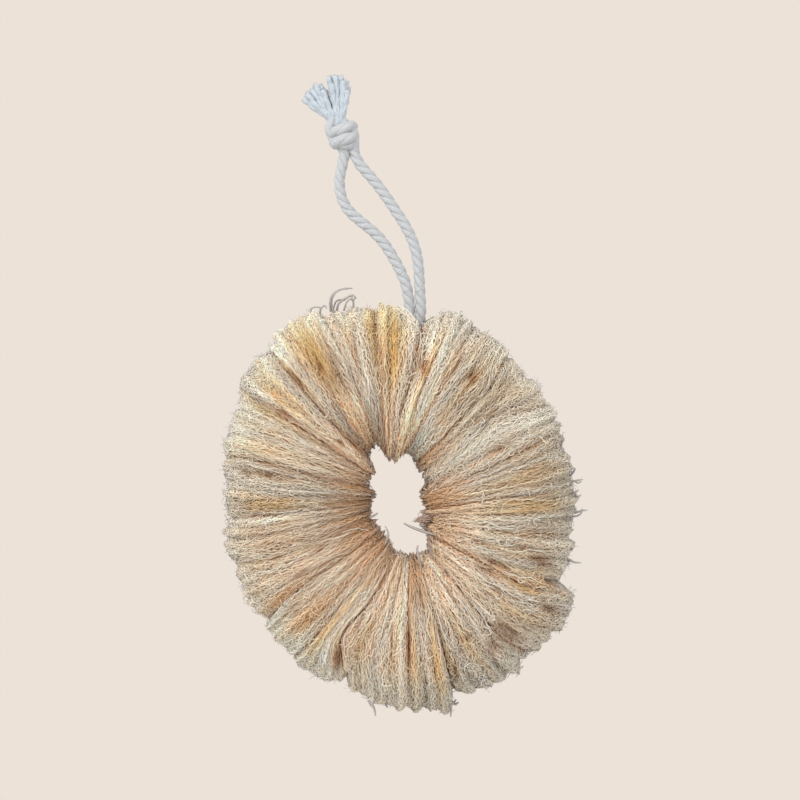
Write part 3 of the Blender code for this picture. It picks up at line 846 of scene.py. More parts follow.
def curls(piece, count, where, length, stations, tone, stand, start=(-0.5, 0.6),
          thickness=(0.28, 0.50), turn=(0.12, 0.55), sway=1.2, sides=(-0.96, 0.96)):
    """Short curled ends. where and sides: (least, most) phi and t; tone: how grey;
    stand: how steeply they leave the surface; start: height of the root;
    turn: radians of curl a millimetre; sway: how unevenly they curl."""
    rng = piece.rng
    count = int(count)

    def each(low, high):
        return rng.uniform(low, high, count)

    phi = each(*where)
    t = each(*sides)
    root = piece.point(t, phi, each(*start))
    _, normal, across = piece.surface(t, phi)
    heading = normal * each(*stand)[:, None]
    heading = heading + across * rng.normal(0, 0.6, count)[:, None]
    heading = heading + np.cross(across, normal) * rng.normal(0, 0.7, count)[:, None]
    heading = unit(heading)
    step = each(*length) / (stations - 1)
    axis = unit(normal * 0.9 + rng.normal(0, 0.6, (count, 3)))
    bend = rng.choice([-1, 1], count) * each(*turn)
    swing = each(0.5, 1.4)
    phase = each(0, 6.3)
    points = np.zeros((count, stations, 3))
    points[:, 0] = root
    for k in range(1, stations):
        angle = (bend * step * (1 + sway * np.sin(swing * step * k + phase)))[:, None]
        cosine = np.cos(angle)
        heading = unit(heading * cosine + np.cross(axis, heading) * np.sin(angle)
                       + axis * dot(axis, heading) * (1 - cosine))
        wobble = rng.normal(0, 0.10, (count, 3))
        heading = unit(heading + wobble - normal * (0.05 * step)[:, None])
        points[:, k] = points[:, k - 1] + heading * step[:, None]
    way = np.linspace(0, 1, stations)[None, :]
    radii = each(*thickness)[:, None] / 2 * (1 - 0.5 * way**2)
    normals = unit(np.cross(np.gradient(points, axis=1), axis[:, None, :]))
    t, phi = t[:, None], phi[:, None]
    colours = piece.colour(t, phi, 0.85, each(-1, 1)[:, None], points)
    outside = bell(phi, 0.42)  # greyer at the ring's outer edge
    grey = unit_range(0.35 + way) * unit_range(tone + 0.45 * outside * (tone > 0.2))
    return points, radii, normals, mix(colours, GREY, grey)


def one_fibre(points, radii, colour):
    shape = (1, len(points), 1)
    return points[None], radii[None], np.tile(FRONT, shape), np.tile(colour, shape)


def tapered(points, root_r, colour, stations):
    way = np.linspace(0, 1, stations)
    return one_fibre(curve_through(points, stations), root_r * (1 - 0.5 * way**3), colour)


# Fibres that stand clear of the ring, by slice: points (x, y, z), then the radius at the root.
STRAYS = {
    2: (
        (((-8.712, -3, -66.22), (-8.932, -6, -62.26), (-8.052, -7, -59.18),
          (-5.412, -8, -57.112), (-2.112, -8, -56.232), (0.968, -7, -56.1)), 0.62),
        (((-7.832, -4, -66.22), (-8.272, -6, -61.82), (-6.952, -8, -58.52),
          (-4.312, -9, -56.804), (-1.232, -8, -56.452)), 0.5),
        (((-6.072, -2, -65.78), (-5.192, -5, -62.7), (-1.892, -6, -60.28),
          (0.704, -6, -59.092), (2.2, -7, -60.236), (0.264, -8, -61.468)), 0.6),
        (((-2.992, -5, -65.78), (-1.672, -8, -62.26), (0.088, -8, -60.764),
          (1.628, -6, -61.204)), 0.5),
        (((0.528, -5, -66.22), (1.32, -6, -62.7), (0.44, -7, -59.62)), 0.55),
        (((-7.832, 0, -65.34), (-6.512, -3, -61.82), (-4.312, -4, -60.94),
          (-2.552, -4, -61.38)), 0.5),
    ),
    3: (
        (((-17.072, -3, -67.98), (-17.512, -5, -65.34), (-15.752, -6, -64.24),
          (-13.552, -6, -64.46), (-12.672, -6, -65.78)), 0.5),
        (((-13.552, -2, -67.54), (-13.112, -4, -64.9), (-11.352, -4, -63.58),
          (-10.472, -5, -64.9)), 0.5),
    ),
    17: (
        (((92.928, -4, -141.9), (96.272, -6, -140.756), (99.088, -7, -140.14),
          (101.464, -8, -139.524)), 0.6),
        (((93.368, -2, -140.14), (96.448, -4, -137.94), (98.208, -5, -135.52),
          (97.856, -5, -134.596)), 0.6),
        (((93.368, -3, -137.5), (95.568, -4, -135.96), (97.328, -4, -136.84)), 0.5),
        (((98.208, -6, -140.58), (99.528, -6, -141.284), (101.112, -7, -140.492)), 0.4),
        (((94.688, -6, -148.06), (97.768, -8, -145.86), (99.704, -8, -144.1)), 0.6),
        (((95.568, -5, -149.82), (98.648, -7, -148.06), (100.848, -8, -146.3)), 0.55),
    ),
    16: (
        (((94.688, -4, -155.1), (98.648, -6, -154.22), (101.288, -7, -153.34),
          (103.488, -8, -153.032)), 0.6),
        (((95.568, -4, -155.98), (98.648, -6, -155.804), (100.848, -6, -154.66),
          (101.288, -7, -152.46)), 0.5),
        (((90.288, -5, -173.58), (94.996, -7, -174.46), (97.768, -8, -175.78),
          (100.76, -8, -176.044)), 0.6),
        (((91.168, -5, -175.34), (94.688, -6, -175.956), (96.888, -7, -174.812)), 0.5),
    ),
    11: (
        (((7.568, -4, -232.54), (8.712, -6, -236.94), (10.208, -7, -239.58),
          (11.0, -7, -243.1)), 0.7),
        (((7.128, -3, -233.42), (8.448, -5, -237.82), (9.592, -5, -239.58)), 0.6),
        (((14.168, -3, -235.18), (15.312, -4, -238.26), (16.192, -4, -239.844)), 0.6),
    ),
    13: (
        (((41.008, -4, -234.3), (43.648, -6, -236.5), (45.848, -7, -237.996),
          (47.168, -8, -237.028)), 0.8),
        (((41.888, -4, -236.94), (44.528, -5, -238.084), (46.288, -6, -235.972)), 0.6),
        (((42.328, -4, -236.94), (43.912, -5, -240.02), (43.824, -6, -243.54)), 0.6),
    ),
    # inside the hole
    15: (
        (((38.368, -12, -163.9), (32.604, -14, -162.316), (27.368, -15, -160.38),
          (23.232, -15, -158.444)), 0.75),
        (((35.728, -8, -161.7), (32.208, -9, -160.644), (30.448, -10, -159.324),
          (31.592, -11, -158.356)), 0.55),
    ),
    14: (
        (((30.888, -14, -177.98), (29.744, -16, -173.58), (29.128, -16, -170.5),
          (29.392, -16, -167.86)), 0.6),
        (((36.608, -12, -173.58), (34.848, -14, -170.06), (33.88, -15, -168.74)), 0.5),
    ),
    9: (
        (((14.608, -12, -168.3), (16.544, -14, -164.78), (16.368, -15, -162.14),
          (15.224, -15, -159.676)), 0.45),
        (((8.448, -12, -155.98), (10.648, -14, -154.924), (11.968, -15, -153.956)), 0.6),
    ),
}
# A tuft that stands into the hole from its right edge.
TUFT_SLICE, TUFT_COUNT = 16, 46
TUFT_ROOT = np.array((34.848, -9, -156.42))
TUFT_TIP = np.array((26.268, -12, -158.18))

# Open curls lying on the front, by slice: x, z of the middle, radius, turns.
FACE_CURLS = {
    13: ((37.488, -210.54, 1.496, 0.5),),
    14: ((48.928, -198.22, 1.848, 0.6), (58.608, -204.38, 2.112, 0.7),
         (62.568, -197.78, 1.848, 0.5), (52.448, -210.54, 1.584, 0.5)),
    15: ((63.888, -188.54, 1.584, 0.6), (74.448, -181.94, 1.672, 0.5)),
    16: ((41.668, -159.94, 1.848, 1.15), (68.948, -165.88, 2.024, 1.0),
         (60.808, -158.62, 1.584, 0.5), (80.608, -157.74, 1.584, 0.6)),
    20: ((55.968, -113.74, 1.496, 0.6), (65.648, -107.14, 1.496, 0.5)),
    22: ((39.248, -92.62, 1.584, 0.6), (41.888, -82.06, 1.496, 0.6)),
}
# Pale fibres crossing the front, by slice: points (x, z).
FACE_STRANDS = {
    1: (
        ((30.448, -71.06), (33.088, -71.94), (35.728, -73.7), (37.708, -75.9)),
        ((30.888, -73.7), (33.088, -73.7), (35.288, -75.9), (37.048, -78.98)),
        ((30.448, -79.86), (32.208, -78.1), (34.408, -78.54), (36.168, -81.18)),
        ((30.668, -82.5), (32.648, -80.74), (34.848, -81.18), (35.728, -83.38)),
        ((30.888, -85.14), (32.648, -83.38), (34.408, -83.82), (35.068, -86.02)),
        ((30.008, -77.22), (31.768, -75.9), (33.968, -76.34), (35.728, -77.66)),
        ((29.568, -73.26), (30.888, -78.54), (31.328, -83.82), (30.888, -89.98)),
        ((31.768, -74.58), (32.208, -79.86), (33.528, -83.82), (33.968, -87.34)),
    ),
    22: (
        ((37.928, -70.62), (39.248, -75.02), (38.808, -80.3), (36.608, -84.7)),
        ((41.448, -68.86), (39.248, -74.14), (37.488, -79.42), (35.288, -83.82)),
        ((36.168, -72.82), (36.608, -77.22), (35.288, -81.62), (33.968, -86.02)),
        ((43.648, -70.62), (41.888, -76.78), (39.688, -82.94), (37.488, -89.98)),
        ((34.408, -75.02), (36.168, -74.14), (38.368, -74.58), (40.568, -73.7)),
        ((37.488, -82.94), (35.728, -81.18), (33.968, -81.62), (32.648, -82.94)),
    ),
    9: (
        ((-4.752, -162.58), (0.528, -160.82), (4.928, -160.82), (8.888, -162.14)),
        ((-14.432, -166.98), (-9.152, -164.78), (-4.312, -163.9), (0.528, -162.14)),
    ),
    5: (((-17.072, -111.54), (-12.672, -115.5), (-7.832, -118.58), (-2.552, -122.98)),),
    14: (
        ((39.248, -188.54), (44.528, -195.58), (47.168, -202.62), (52.448, -207.9)),
        ((45.848, -187.66), (48.928, -192.94), (53.768, -198.22), (55.968, -204.38)),
        ((52.448, -191.18), (55.968, -195.58), (58.608, -200.86), (63.888, -207.02)),
    ),
    15: (
        ((45.848, -175.34), (52.448, -178.86), (57.728, -183.7), (64.328, -186.78)),
        ((56.848, -182.38), (63.008, -184.14), (69.168, -188.54), (75.328, -189.42)),
        ((65.648, -177.98), (71.808, -180.62), (77.968, -181.5), (85.008, -185.02)),
    ),
    16: (
        ((43.648, -164.34), (50.688, -165.66), (57.728, -168.74), (65.648, -169.62)),
        ((52.448, -158.18), (59.488, -157.3), (65.648, -159.5), (72.688, -158.18)),
        ((65.648, -168.74), (72.688, -170.06), (78.848, -169.18), (86.768, -171.82)),
    ),
    13: (
        ((32.208, -188.54), (33.968, -195.58), (33.528, -202.62), (35.728, -210.54)),
        ((36.608, -192.94), (38.368, -199.98), (41.008, -206.14), (41.888, -214.06)),
    ),
}


def tuft(piece):
    """A matted wedge of short fibres, wide at the root and thin at the tip."""
    rng = piece.rng
    made = []
    for _ in range(TUFT_COUNT):
        spread = np.clip(rng.normal(0, 1, 3), -1.8, 1.8) * (0.8, 1.5, 1.6)
        reach = (1 - 0.45 * abs(spread[2]) / 2.9) * rng.uniform(0.45, 1.0)
        start = TUFT_ROOT + spread
        end = TUFT_ROOT + (TUFT_TIP - TUFT_ROOT) * reach + spread * (1 - reach) * 0.8
        bend = rng.normal(0, 0.7, (2, 3))
        points = [start, start * 0.65 + end * 0.35 + bend[0],
                  start * 0.3 + end * 0.7 + bend[1], end]
        made.append(tapered(points, 0.21, BROWN * 0.35 + GREY * 0.55, stations=14))
    return made


def face_fibre(piece, x, z, lift, thickness, colour):
    """A fibre on the front of a slice, lift above it; x, z from the ring's centre."""
    t = half_turn(np.arctan2(z, x) - piece.mid) / piece.half
    mid, _, out, length = piece.plan(np.clip(t, -1, 1), np.full(len(x), -1.2))
    outward = (np.stack([x, z], -1) - mid) * out
    outward = np.clip(outward.sum(-1) / length, -0.98, 0.98)
    y = -HALF_DEPTH * np.sqrt(1 - outward**2) - lift
    taper = 1 - 0.6 * np.linspace(-1, 1, len(x)) ** 4
    return one_fibre(np.stack([x, y, z], -1) + RING_CENTRE, thickness / 2 * taper, colour)


def face_curl(piece, x, z, radius, turns):
    """A loop of fibre lying on the front of the slice."""
    rng = piece.rng
    start, way, phase = rng.uniform(0, 6.3), rng.choice([-1, 1]), rng.uniform(0, 6.3)
    angle = start + np.linspace(0, math.tau * turns, 22) * way
    uneven = 0.18 * np.sin(2 * angle + phase) + 0.10 * np.sin(5 * angle + phase)
    r = radius * (1 + 0.30 * np.linspace(-1, 1, 22) + uneven)
    return face_fibre(piece, x - RING_X + r * np.cos(angle), z - RING_Z + r * 0.85 * np.sin(angle),
                      lift=1.7 + 0.5 * np.sin(angle - start), thickness=0.56, colour=CREAM)


def face_strand(piece, places):
    """A pale wavy fibre whose ends dip into the surface."""
    rng = piece.rng
    x, z = curve_through(places, 26).T
    way = np.linspace(0, 1, 26)
    wave = 0.35 * np.sin(way * rng.uniform(9, 17) + rng.uniform(0, 6.3)) * np.sin(way * math.pi)
    ends = 1.9 * ramp(np.abs(way - 0.5), 0.32, 0.18) ** 1.5
    return face_fibre(piece, x - RING_X + wave, z - RING_Z + 0.6 * wave, lift=1.7 - ends,
                      thickness=rng.uniform(0.44, 0.62), colour=CREAM * rng.uniform(0.9, 1.02))


def fibre_net(piece, share):
    """The fibres that cover the slice, from the deepest layer to the top one."""
    wave = 0.65 + 0.75 * piece.look.curly
    thick = 0.76 + 0.46 * piece.look.coarse
    many = 1.22 - 0.42 * piece.look.coarse
    return [
        fibres(piece, 125 * share, length=(24, 44), height=(0.0, 0.45),
               thickness=(0.50 * thick, 0.80 * thick), stations=14,
               side_waves=[(0.28 * wave, MIDDLE), (0.5, LARGE)], lift_waves=[(0.10, MIDDLE)],
               sink=0.4),
        fibres(piece, 235 * share * many, length=(14, 34), height=(0.35, 0.95),
               thickness=(0.36 * thick, 0.58 * thick), stations=19,
               side_waves=[(0.10 * wave, SMALL), (0.32 * wave, MIDDLE), (0.5, LARGE)],
               lift_waves=[(0.15, MIDDLE), (0.10, SMALL)],
               lean=0.07, stray=0.10, cross=0.06, bridge=0.10),
        fibres(piece, 330 * share * many, length=(5, 15), height=(0.65, 1.30),
               thickness=(0.26 * thick, 0.42 * thick), stations=17,
               side_waves=[(0.24 * wave, SMALL), (0.50 * wave, MIDDLE)],
               lift_waves=[(0.14, SMALL), (0.22 * wave, MIDDLE)],
               lean=0.14 + 0.16 * piece.look.curly, stray=0.20, sink=1.2, loose=0.06,
               cross=0.16, bridge=0.22),
        fibres(piece, 60 * share, length=(16, 34), height=(0.9, 1.45),
               thickness=(0.32 * thick, 0.50 * thick), stations=21,
               side_waves=[(0.12 * wave, SMALL), (0.36 * wave, MIDDLE), (0.6, LARGE)],
               lift_waves=[(0.2 * wave, MIDDLE)], span=(-1.9, -0.2),
               lean=0.08, stray=0.08, sink=1.3, cross=0.1, bridge=0.25),
    ]


def fuzz(piece, share):
    """Curled ends all round, then the listed fibres."""
    number = piece.number
    made = [
        curls(piece, 78 * share, where=(-1.0, 0.5), length=(2.2, 5.4), stations=10, tone=0.40,
              stand=(-0.35, 0.30), start=(-0.1, 0.9)),
        curls(piece, 34 * share, where=(0.3, 1.2), length=(2.2, 5.0), stations=9, tone=0.40,
              stand=(-0.3, 0.3), start=(-0.1, 0.9)),
        curls(piece, 46 * share, where=(-1.7, -0.8), length=(3.0, 8.0), stations=10, tone=0.10,
              stand=(-0.2, 0.2), start=(0.2, 1.1)),
        curls(piece, 5 + 30 * piece.look.curly * share, where=(-2.0, -0.4), length=(5.0, 9.0),
              stations=18, tone=0.05, stand=(-0.1, 0.1), start=(0.7, 1.4), turn=(0.55, 1.05),
              sway=0.4),
        curls(piece, 12, where=(2.5, 3.9), length=(1.2, 2.8), stations=7, tone=0.30,
              stand=(-0.2, 0.7)),
        curls(piece, 90 * share, where=(-0.55, 0.35), length=(1.2, 3.0), stations=7, tone=0.95,
              stand=(0.0, 0.75), start=(-0.2, 0.6), thickness=(0.18, 0.30), turn=(0.3, 0.9)),
    ]
    if number in (2, 3, 4, 5, 6, 7, 20, 21):  # more tangled along the rim
        made.append(curls(
            piece, 46 * share, where=(-0.30, 0.25), length=(2.0, 4.2), stations=10, tone=1.0,
            stand=(0.1, 0.9), start=(-0.2, 0.5), thickness=(0.24, 0.40), turn=(0.5, 1.2)))
    if number == 19:  # a tangle over the front
        made.append(curls(
            piece, 120, where=(-2.4, -0.4), length=(3.0, 7.0), stations=11, tone=0.0,
            stand=(-0.1, 0.15), start=(0.6, 1.3), thickness=(0.22, 0.36)))
    if number == 15:  # the torn corner at its higher-angle side
        made.append(curls(
            piece, 70, where=(-0.7, 0.5), length=(2.0, 5.0), stations=10, tone=0.5,
            stand=(-0.2, 0.4), start=(-0.8, 0.6), sides=(0.93, 1.0)))
    made += [face_curl(piece, *curl) for curl in FACE_CURLS.get(number, ())]
    made += [face_strand(piece, places) for places in FACE_STRANDS.get(number, ())]
    for points, root_r in STRAYS.get(number, ()):
        made.append(tapered(points, root_r, GREY * 0.86, stations=26))
    if number == TUFT_SLICE:
        made += tuft(piece)
    return made


def loose_fibres(piece):
    share = piece.half / math.radians(8.7)
    parts = [
        (*thin_tubes(points, radii, normals), np.repeat(colours.reshape(-1, 3), 3, 0))
        for points, radii, normals, colours in fibre_net(piece, share) + fuzz(piece, share)
    ]
    verts, faces, tints = merged(parts)
    faces.sort(key=lambda rows: -rows.shape[1])  # all the quads first, then the end caps
    return new_mesh(f"{piece.node}_fibres", verts, faces, FIBRE, tint=tints)


slice_nodes = sorted(name for name in frame["nodes"] if name.startswith("loofah_slice_"))
for index, node in enumerate(slice_nodes):
    piece = Slice(index, node)
    core = packed_body(piece)
    for ob in (core, loose_fibres(piece)):
        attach(ob, f"slice_{node[-2:]}")
    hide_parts(node)

# ---- the cotton cord ---------------------------------------------------------

CORD_R = 2.52
LAY = 13.0  # length of one turn of the three strands


def rope_part(line, run, radius=CORD_R, phase=0.0, sides=20, lay=LAY, full=0.52, seed=0.0):
    """Three strands laid together, each fluted by its own yarns.
    full is a strand's radius as a share of the rope's."""
    _, normal, side = frames(line)
    strand_r = radius * full
    strand = np.arange(3)[:, None]
    turns = np.linspace(0, math.tau, sides, endpoint=False)
    angle = (-math.tau * run / lay + phase + math.tau * strand / 3)[..., None]
    outward = np.cos(angle) * normal + np.sin(angle) * side
    centres = line + (radius - strand_r) * outward
    tangent = unit(np.gradient(centres, axis=1))
    # outwards from the rope's axis, square to the strand
    outward = unit(outward - dot(outward, tangent) * tangent)
    run = run[:, None]
    flute = 1 + 0.055 * np.cos(7 * turns + math.tau * run / 4.2 + strand[..., None])
    verts, (quads, starts, ends) = sweep(
        centres, strand_r * flute, outward * 0.96, np.cross(tangent, outward) * 1.06, turns)
    caps = np.stack([starts, ends], 1).reshape(-1, sides)
    grain = grain_vectors(turns * strand_r + run * 0.55, run, 5.0 * strand[..., None])
    return verts, [quads, caps], grain + seed


def rope(name, parts, material):
    verts, faces, grain = merged(parts)
    return new_mesh(name, verts, faces, material, grain=grain)


# The two legs, from the knot down into the ring: x, y, z.
LEFT_LEG = (
    (-3.2, 0, 6.5), (-2.9, 0, 2.6), (-3.9, 0, -2.2), (-5.0, 0, -8.3), (-4.2, 0, -15.3),
    (-1.2, 0, -21.2), (4.1, 0, -26.2), (10.0, 0, -31.0), (14.7, 0, -36.2), (18.4, 0, -41.9),
    (21.6, 0, -47.7), (24.0, 0, -53.4), (25.2, 0, -59.0), (25.9, 0, -64.5), (25.4, 0, -72.0),
    (24.5, 0, -84.0), (23.9, 0, -92.0),
)
RIGHT_LEG = (
    (0.8, 0, 6.5), (2.1, 0, 2.4), (4.2, 0, -1.6), (8.0, 0, -5.9), (12.4, 0, -11.2),
    (16.6, 0, -17.1), (20.6, 0, -23.0), (24.3, 0, -28.9), (27.1, 0, -34.8), (28.9, 0, -40.7),
    (29.8, 0, -46.8), (30.2, 0, -53.0), (30.5, 0, -59.0), (30.8, 0, -64.5), (30.3, 0, -72.0),
    (29.4, 0, -84.0), (28.8, 0, -92.0),
)
# The bodies a leg passes through, and the hinge between each two.
HINGES = ("loop_bend", "ring_twist", "ring_sway", "ring_swing")
# For each hinge: the CAD piece, and how far the bend reaches above and below the hinge.
LEG_PIECES = (
    ("leg", "upper", 8.0, 8.0), ("leg", "lower", 9.0, 4.0),
    ("neck", "upper", 3.8, 3.8), ("neck", "lower", 3.6, 6.0),
)


def cut_line(line, run, top, bottom):
    """The stretch of a falling line between two heights, its ends exactly there."""
    rows = np.column_stack([line, run])
    rising = rows[np.argsort(line[:, 2])]

    def at(z):
        return [[np.interp(z, rising[:, 2], column) for column in rising.T]]

    kept = [rows[(line[:, 2] < top - 1e-6) & (line[:, 2] > bottom + 1e-6)]]
    if top < line[0, 2]:
        kept.insert(0, at(top))
    if bottom > line[-1, 2]:
        kept.append(at(bottom))
    kept = np.concatenate(kept)
    return kept[:, :3], kept[:, 3]


def cord_leg(side, points, phase):
    line, run = smooth_line(points, 0.45)
    hinge_z = [JOINTS[name]["pos_m"][2] / MM for name in HINGES]
    splits = [(above + below) / 2 for above, below in zip(hinge_z, hinge_z[1:])]
    tops, bottoms = [1e3] + splits, splits + [-1e3]
    for k, (part, end, above, below) in enumerate(LEG_PIECES):
        stretch = cut_line(line, run, tops[k], bottoms[k])
        ob = rope(f"cord_{side}_{k + 1}", [rope_part(*stretch, phase=phase)], COTTON)
        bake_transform(ob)
        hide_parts(f"cord_{part}_{side}_{end}")


cord_leg("left", LEFT_LEG, phase=0.4)
cord_leg("right", RIGHT_LEG, phase=1.7)

# ---- the cord inside the ring ------------------------------------------------

EXIT = math.radians(85.5)  # direction in which the two ends leave the ring
EXIT_OFFSET = 2.45  # of each end from that direction
EXIT_START = 60.0  # distance of the ends from the ring's centre
TURN_R = 3.5


def core_radius(angle):
    """Half way between a smooth rim and the hole's ellipse."""
    rim = 83.6 + 6.5 * np.cos(2 * (angle - math.radians(110.5)))
    cosine, sine = np.cos(angle - HOLE_TILT), np.sin(angle - HOLE_TILT)
    return (rim + HOLE_LONG * HOLE_SHORT / np.hypot(HOLE_SHORT * cosine, HOLE_LONG * sine)) / 2


def ring_place(radius, angle, offset=0.0):
    cosine, sine = math.cos(angle), math.sin(angle)
    return (RING_X + radius * cosine - offset * sine, 0.0,
            RING_Z + radius * sine + offset * cosine)


def cord_end(side):
    """One end of the cord and its turn into the ring; side is 1 or -1."""
    core_r = float(core_radius(EXIT))
    places = [ring_place(EXIT_START, EXIT, side * EXIT_OFFSET)]
    for angle in np.linspace(0, math.pi / 2, 5):
        offset = EXIT_OFFSET + TURN_R * (1 - math.cos(angle))
        places.append(ring_place(core_r + TURN_R * (1 - math.sin(angle)), EXIT, side * offset))
    return places


def cord_in_ring():
    gap = (EXIT_OFFSET + TURN_R) / float(core_radius(EXIT)) + 0.1
    angles = np.linspace(EXIT + gap, EXIT + math.tau - gap, 60)
    loop = [ring_place(float(core_radius(angle)), angle) for angle in angles]
    line, run = smooth_line(cord_end(1) + loop + cord_end(-1)[::-1], 0.8)
    ob = rope("cord_in_ring_rope", [rope_part(line, run, sides=12, phase=0.9)], COTTON)
    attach(ob, "ring_core")
    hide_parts("cord_in_ring")


cord_in_ring()

# ---- the knot ----------------------------------------------------------------


def hoop(centre, wide, deep, tilt, start):
    """A wrap of cord, front to back, rising to the right by tilt degrees."""
    cosine, sine = math.cos(math.radians(tilt)), math.sin(math.radians(tilt))
    points = []
    for angle in np.linspace(start, start + math.tau * 1.02, 27):
        x, y = wide * math.cos(angle), -deep * math.sin(angle)
        points.append((centre[0] + x * cosine, centre[1] + y, centre[2] + x * sine))
    return points


# Points, cord radius, phase.
WRAPS = (
    (hoop((-3.7, 0.2, 13.9), wide=4.7, deep=4.1, tilt=21.0, start=-1.4), 2.62, 0.3),
    (hoop((-2.9, 0.2, 9.4), wide=4.3, deep=4.3, tilt=19.0, start=-1.5), 2.78, 2.0),
    # from the left leg up the left-hand side
    (((-2.9, 0.4, 4.6), (-4.4, -0.6, 6.6), (-6.0, -1.0, 8.4), (-8.2, -0.6, 11.0),
      (-9.5, -0.8, 14.0), (-8.6, -0.6, 17.0), (-7.9, 0, 19.0)), 2.25, 1.1),
    # from the right leg up the right-hand side and in under the upper wrap
    (((1.5, 0.2, 4.2), (1.7, -0.8, 7.4), (1.7, -1.6, 10.6), (0.9, -1.4, 13.4),
      (-1.6, -0.4, 15.8), (-4.0, 0, 18.0)), 2.2, 0.2),
    # the crossing at the bottom, between the two legs
    (((-6.0, 1.2, 9.0), (-4.6, -1.9, 7.3), (-2.0, -2.6, 6.7), (0.6, -1.8, 7.2),
      (1.8, 1.2, 9.0)), 1.9, 0.8),
)


def knot():
    parts = [
        rope_part(*smooth_line(points, 0.4), radius=radius, phase=phase, lay=19.0, full=0.66,
                  sides=16, seed=11.0 * k)
        for k, (points, radius, phase) in enumerate(WRAPS)
    ]
    ob = rope("knot_wraps", parts, COTTON)
    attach(ob, "loop_top")
    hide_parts("knot")


knot()

# ---- the tassels -------------------------------------------------------------

YARN_ROOT_R, YARN_TIP_R = 0.98, 1.30
ROOT_Z, NECK_Z = 14.2, 18.6  # where a yarn starts, and where it is bound
# Tip (x, y, z), then place in the bound neck (x, y).
LEFT_YARNS = (
    ((-21.0, -0.6, 27.2), (-9.5, -0.3)), ((-19.3, 0.9, 30.6), (-9.1, 0.9)),
    ((-19.6, -1.5, 29.2), (-9.0, -1.0)), ((-17.6, -0.5, 31.8), (-8.4, -1.3)),
    ((-16.0, -1.3, 34.1), (-7.8, -0.5)), ((-15.0, 1.5, 32.9), (-8.2, 1.2)),
    ((-13.6, 0.3, 33.7), (-7.1, 0.5)), ((-12.6, -1.7, 31.4), (-7.2, -1.2)),
    ((-11.8, 1.6, 32.0), (-7.0, 1.3)),
)
RIGHT_YARNS = (
    ((-9.8, -0.6, 37.5), (-6.0, -0.7)), ((-8.4, 1.4, 36.8), (-5.6, 0.9)),
    ((-6.7, -0.8, 37.7), (-5.2, -1.4)), ((-5.4, 1.2, 36.4), (-4.9, 1.3)),
    ((-4.2, -0.2, 37.9), (-4.6, -0.3)), ((-3.0, -1.7, 35.8), (-4.2, -1.3)),
    ((-1.8, -0.2, 35.5), (-3.9, 0.6)), ((-0.9, 0.6, 33.0), (-3.7, 1.2)),
    ((-1.3, -1.9, 31.4), (-3.6, -0.8)), ((-8.6, -1.8, 34.2), (-5.9, -1.5)),
)


def yarn_hairs(rng, end, ahead, seed):
    """Loose ends of single threads at a yarn's tip."""
    count, stations = 16, 6
    aside = rng.normal(0, 1, (count, 3))
    aside = unit(aside - (aside @ ahead)[:, None] * ahead)
    heading = unit(ahead + aside * rng.uniform(0.1, 0.9, count)[:, None])
    way = np.linspace(0, 1, stations)[None, :, None]
    length = rng.uniform(0.9, 1.6, count)[:, None, None]
    spread = YARN_TIP_R * 0.6 * np.sqrt(rng.uniform(0, 1, count))[:, None, None]
    points = end - ahead * 0.9 + aside[:, None, :] * spread + heading[:, None, :] * way * length
    points = points + rng.normal(0, 1, (count, 1, 3)) * 0.22 * way**2
    radii = np.full((count, stations), 0.10) * (1 - 0.4 * way[..., 0])
    verts, faces = thin_tubes(points, radii, np.array([0.0, -1.0, 0.3]))
    return verts, faces, np.array([0.0, 0.0, seed]) + verts * 0.2


def yarn(rng, points, seed):
    """A soft crimped yarn, thin where it is bound and full at its rounded end."""
    line, run = smooth_line(points, 0.34)
    _, normal, side = frames(line)
    full = run[-1]
    crimp = 0.20 * unit_range(run / (0.35 * full))
    phases = rng.uniform(0, 6.3, 2)
    line = line + normal * (crimp * np.sin(math.tau * run / 5.2 + phases[0]))[:, None]
    line = line + side * (crimp * 0.7 * np.sin(math.tau * run / 4.4 + phases[1]))[:, None]
    tangent, normal, side = frames(line)
    radii = YARN_ROOT_R + (YARN_TIP_R - YARN_ROOT_R) * unit_range(run / full) ** 1.3
    left = unit_range((full - run) / (YARN_TIP_R * 1.25))
    radii = radii * np.sqrt(np.clip(1 - (1 - left) ** 2, 0.02, 1))
    turns = np.linspace(0, math.tau, 14, endpoint=False)
    run = run[:, None]
    groove = 1 + 0.10 * np.cos(4 * turns - math.tau * run / 6.5)
    groove = groove + 0.05 * np.cos(7 * turns + run * 1.1)
    verts, faces = sweep(line[None], (radii[:, None] * groove)[None], normal[None], side[None],
                         turns)
    grain = grain_vectors(turns * 0.8 + run * 0.4, run, seed)
    return [(verts, faces, grain), yarn_hairs(rng, line[-1], tangent[-1], seed)]


def tassel(name, yarns, base_x, seed):
    rng = np.random.default_rng(seed)
    parts = []
    for k, (tip, (neck_x, neck_y)) in enumerate(yarns):
        root = (base_x + (neck_x - base_x) * 0.7, neck_y * 0.8, ROOT_Z)
        neck = np.array((neck_x, neck_y, NECK_Z))
        tip = np.array(tip)
        sag = (-0.072 * (neck_x - tip[0]), 0.2 * rng.normal(), 0.5)
        middle = neck * 0.55 + tip * 0.45 + sag
        near_tip = neck * 0.22 + tip * 0.78 + (0, 0.15 * rng.normal(), 0.25)
        parts += yarn(rng, [root, neck, middle, near_tip, tip], 3.0 * k + seed)
    ob = rope(f"tassel_{name}_yarns", parts, YARN)
    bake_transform(ob)
    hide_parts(f"tassel_{name}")


tassel("left", LEFT_YARNS, base_x=-7.6, seed=5100)
tassel("right", RIGHT_YARNS, base_x=-4.8, seed=5200)

# ---- camera, light and stage, in metres --------------------------------------

BACKDROP = (*linear(236, 226, 216), 1)


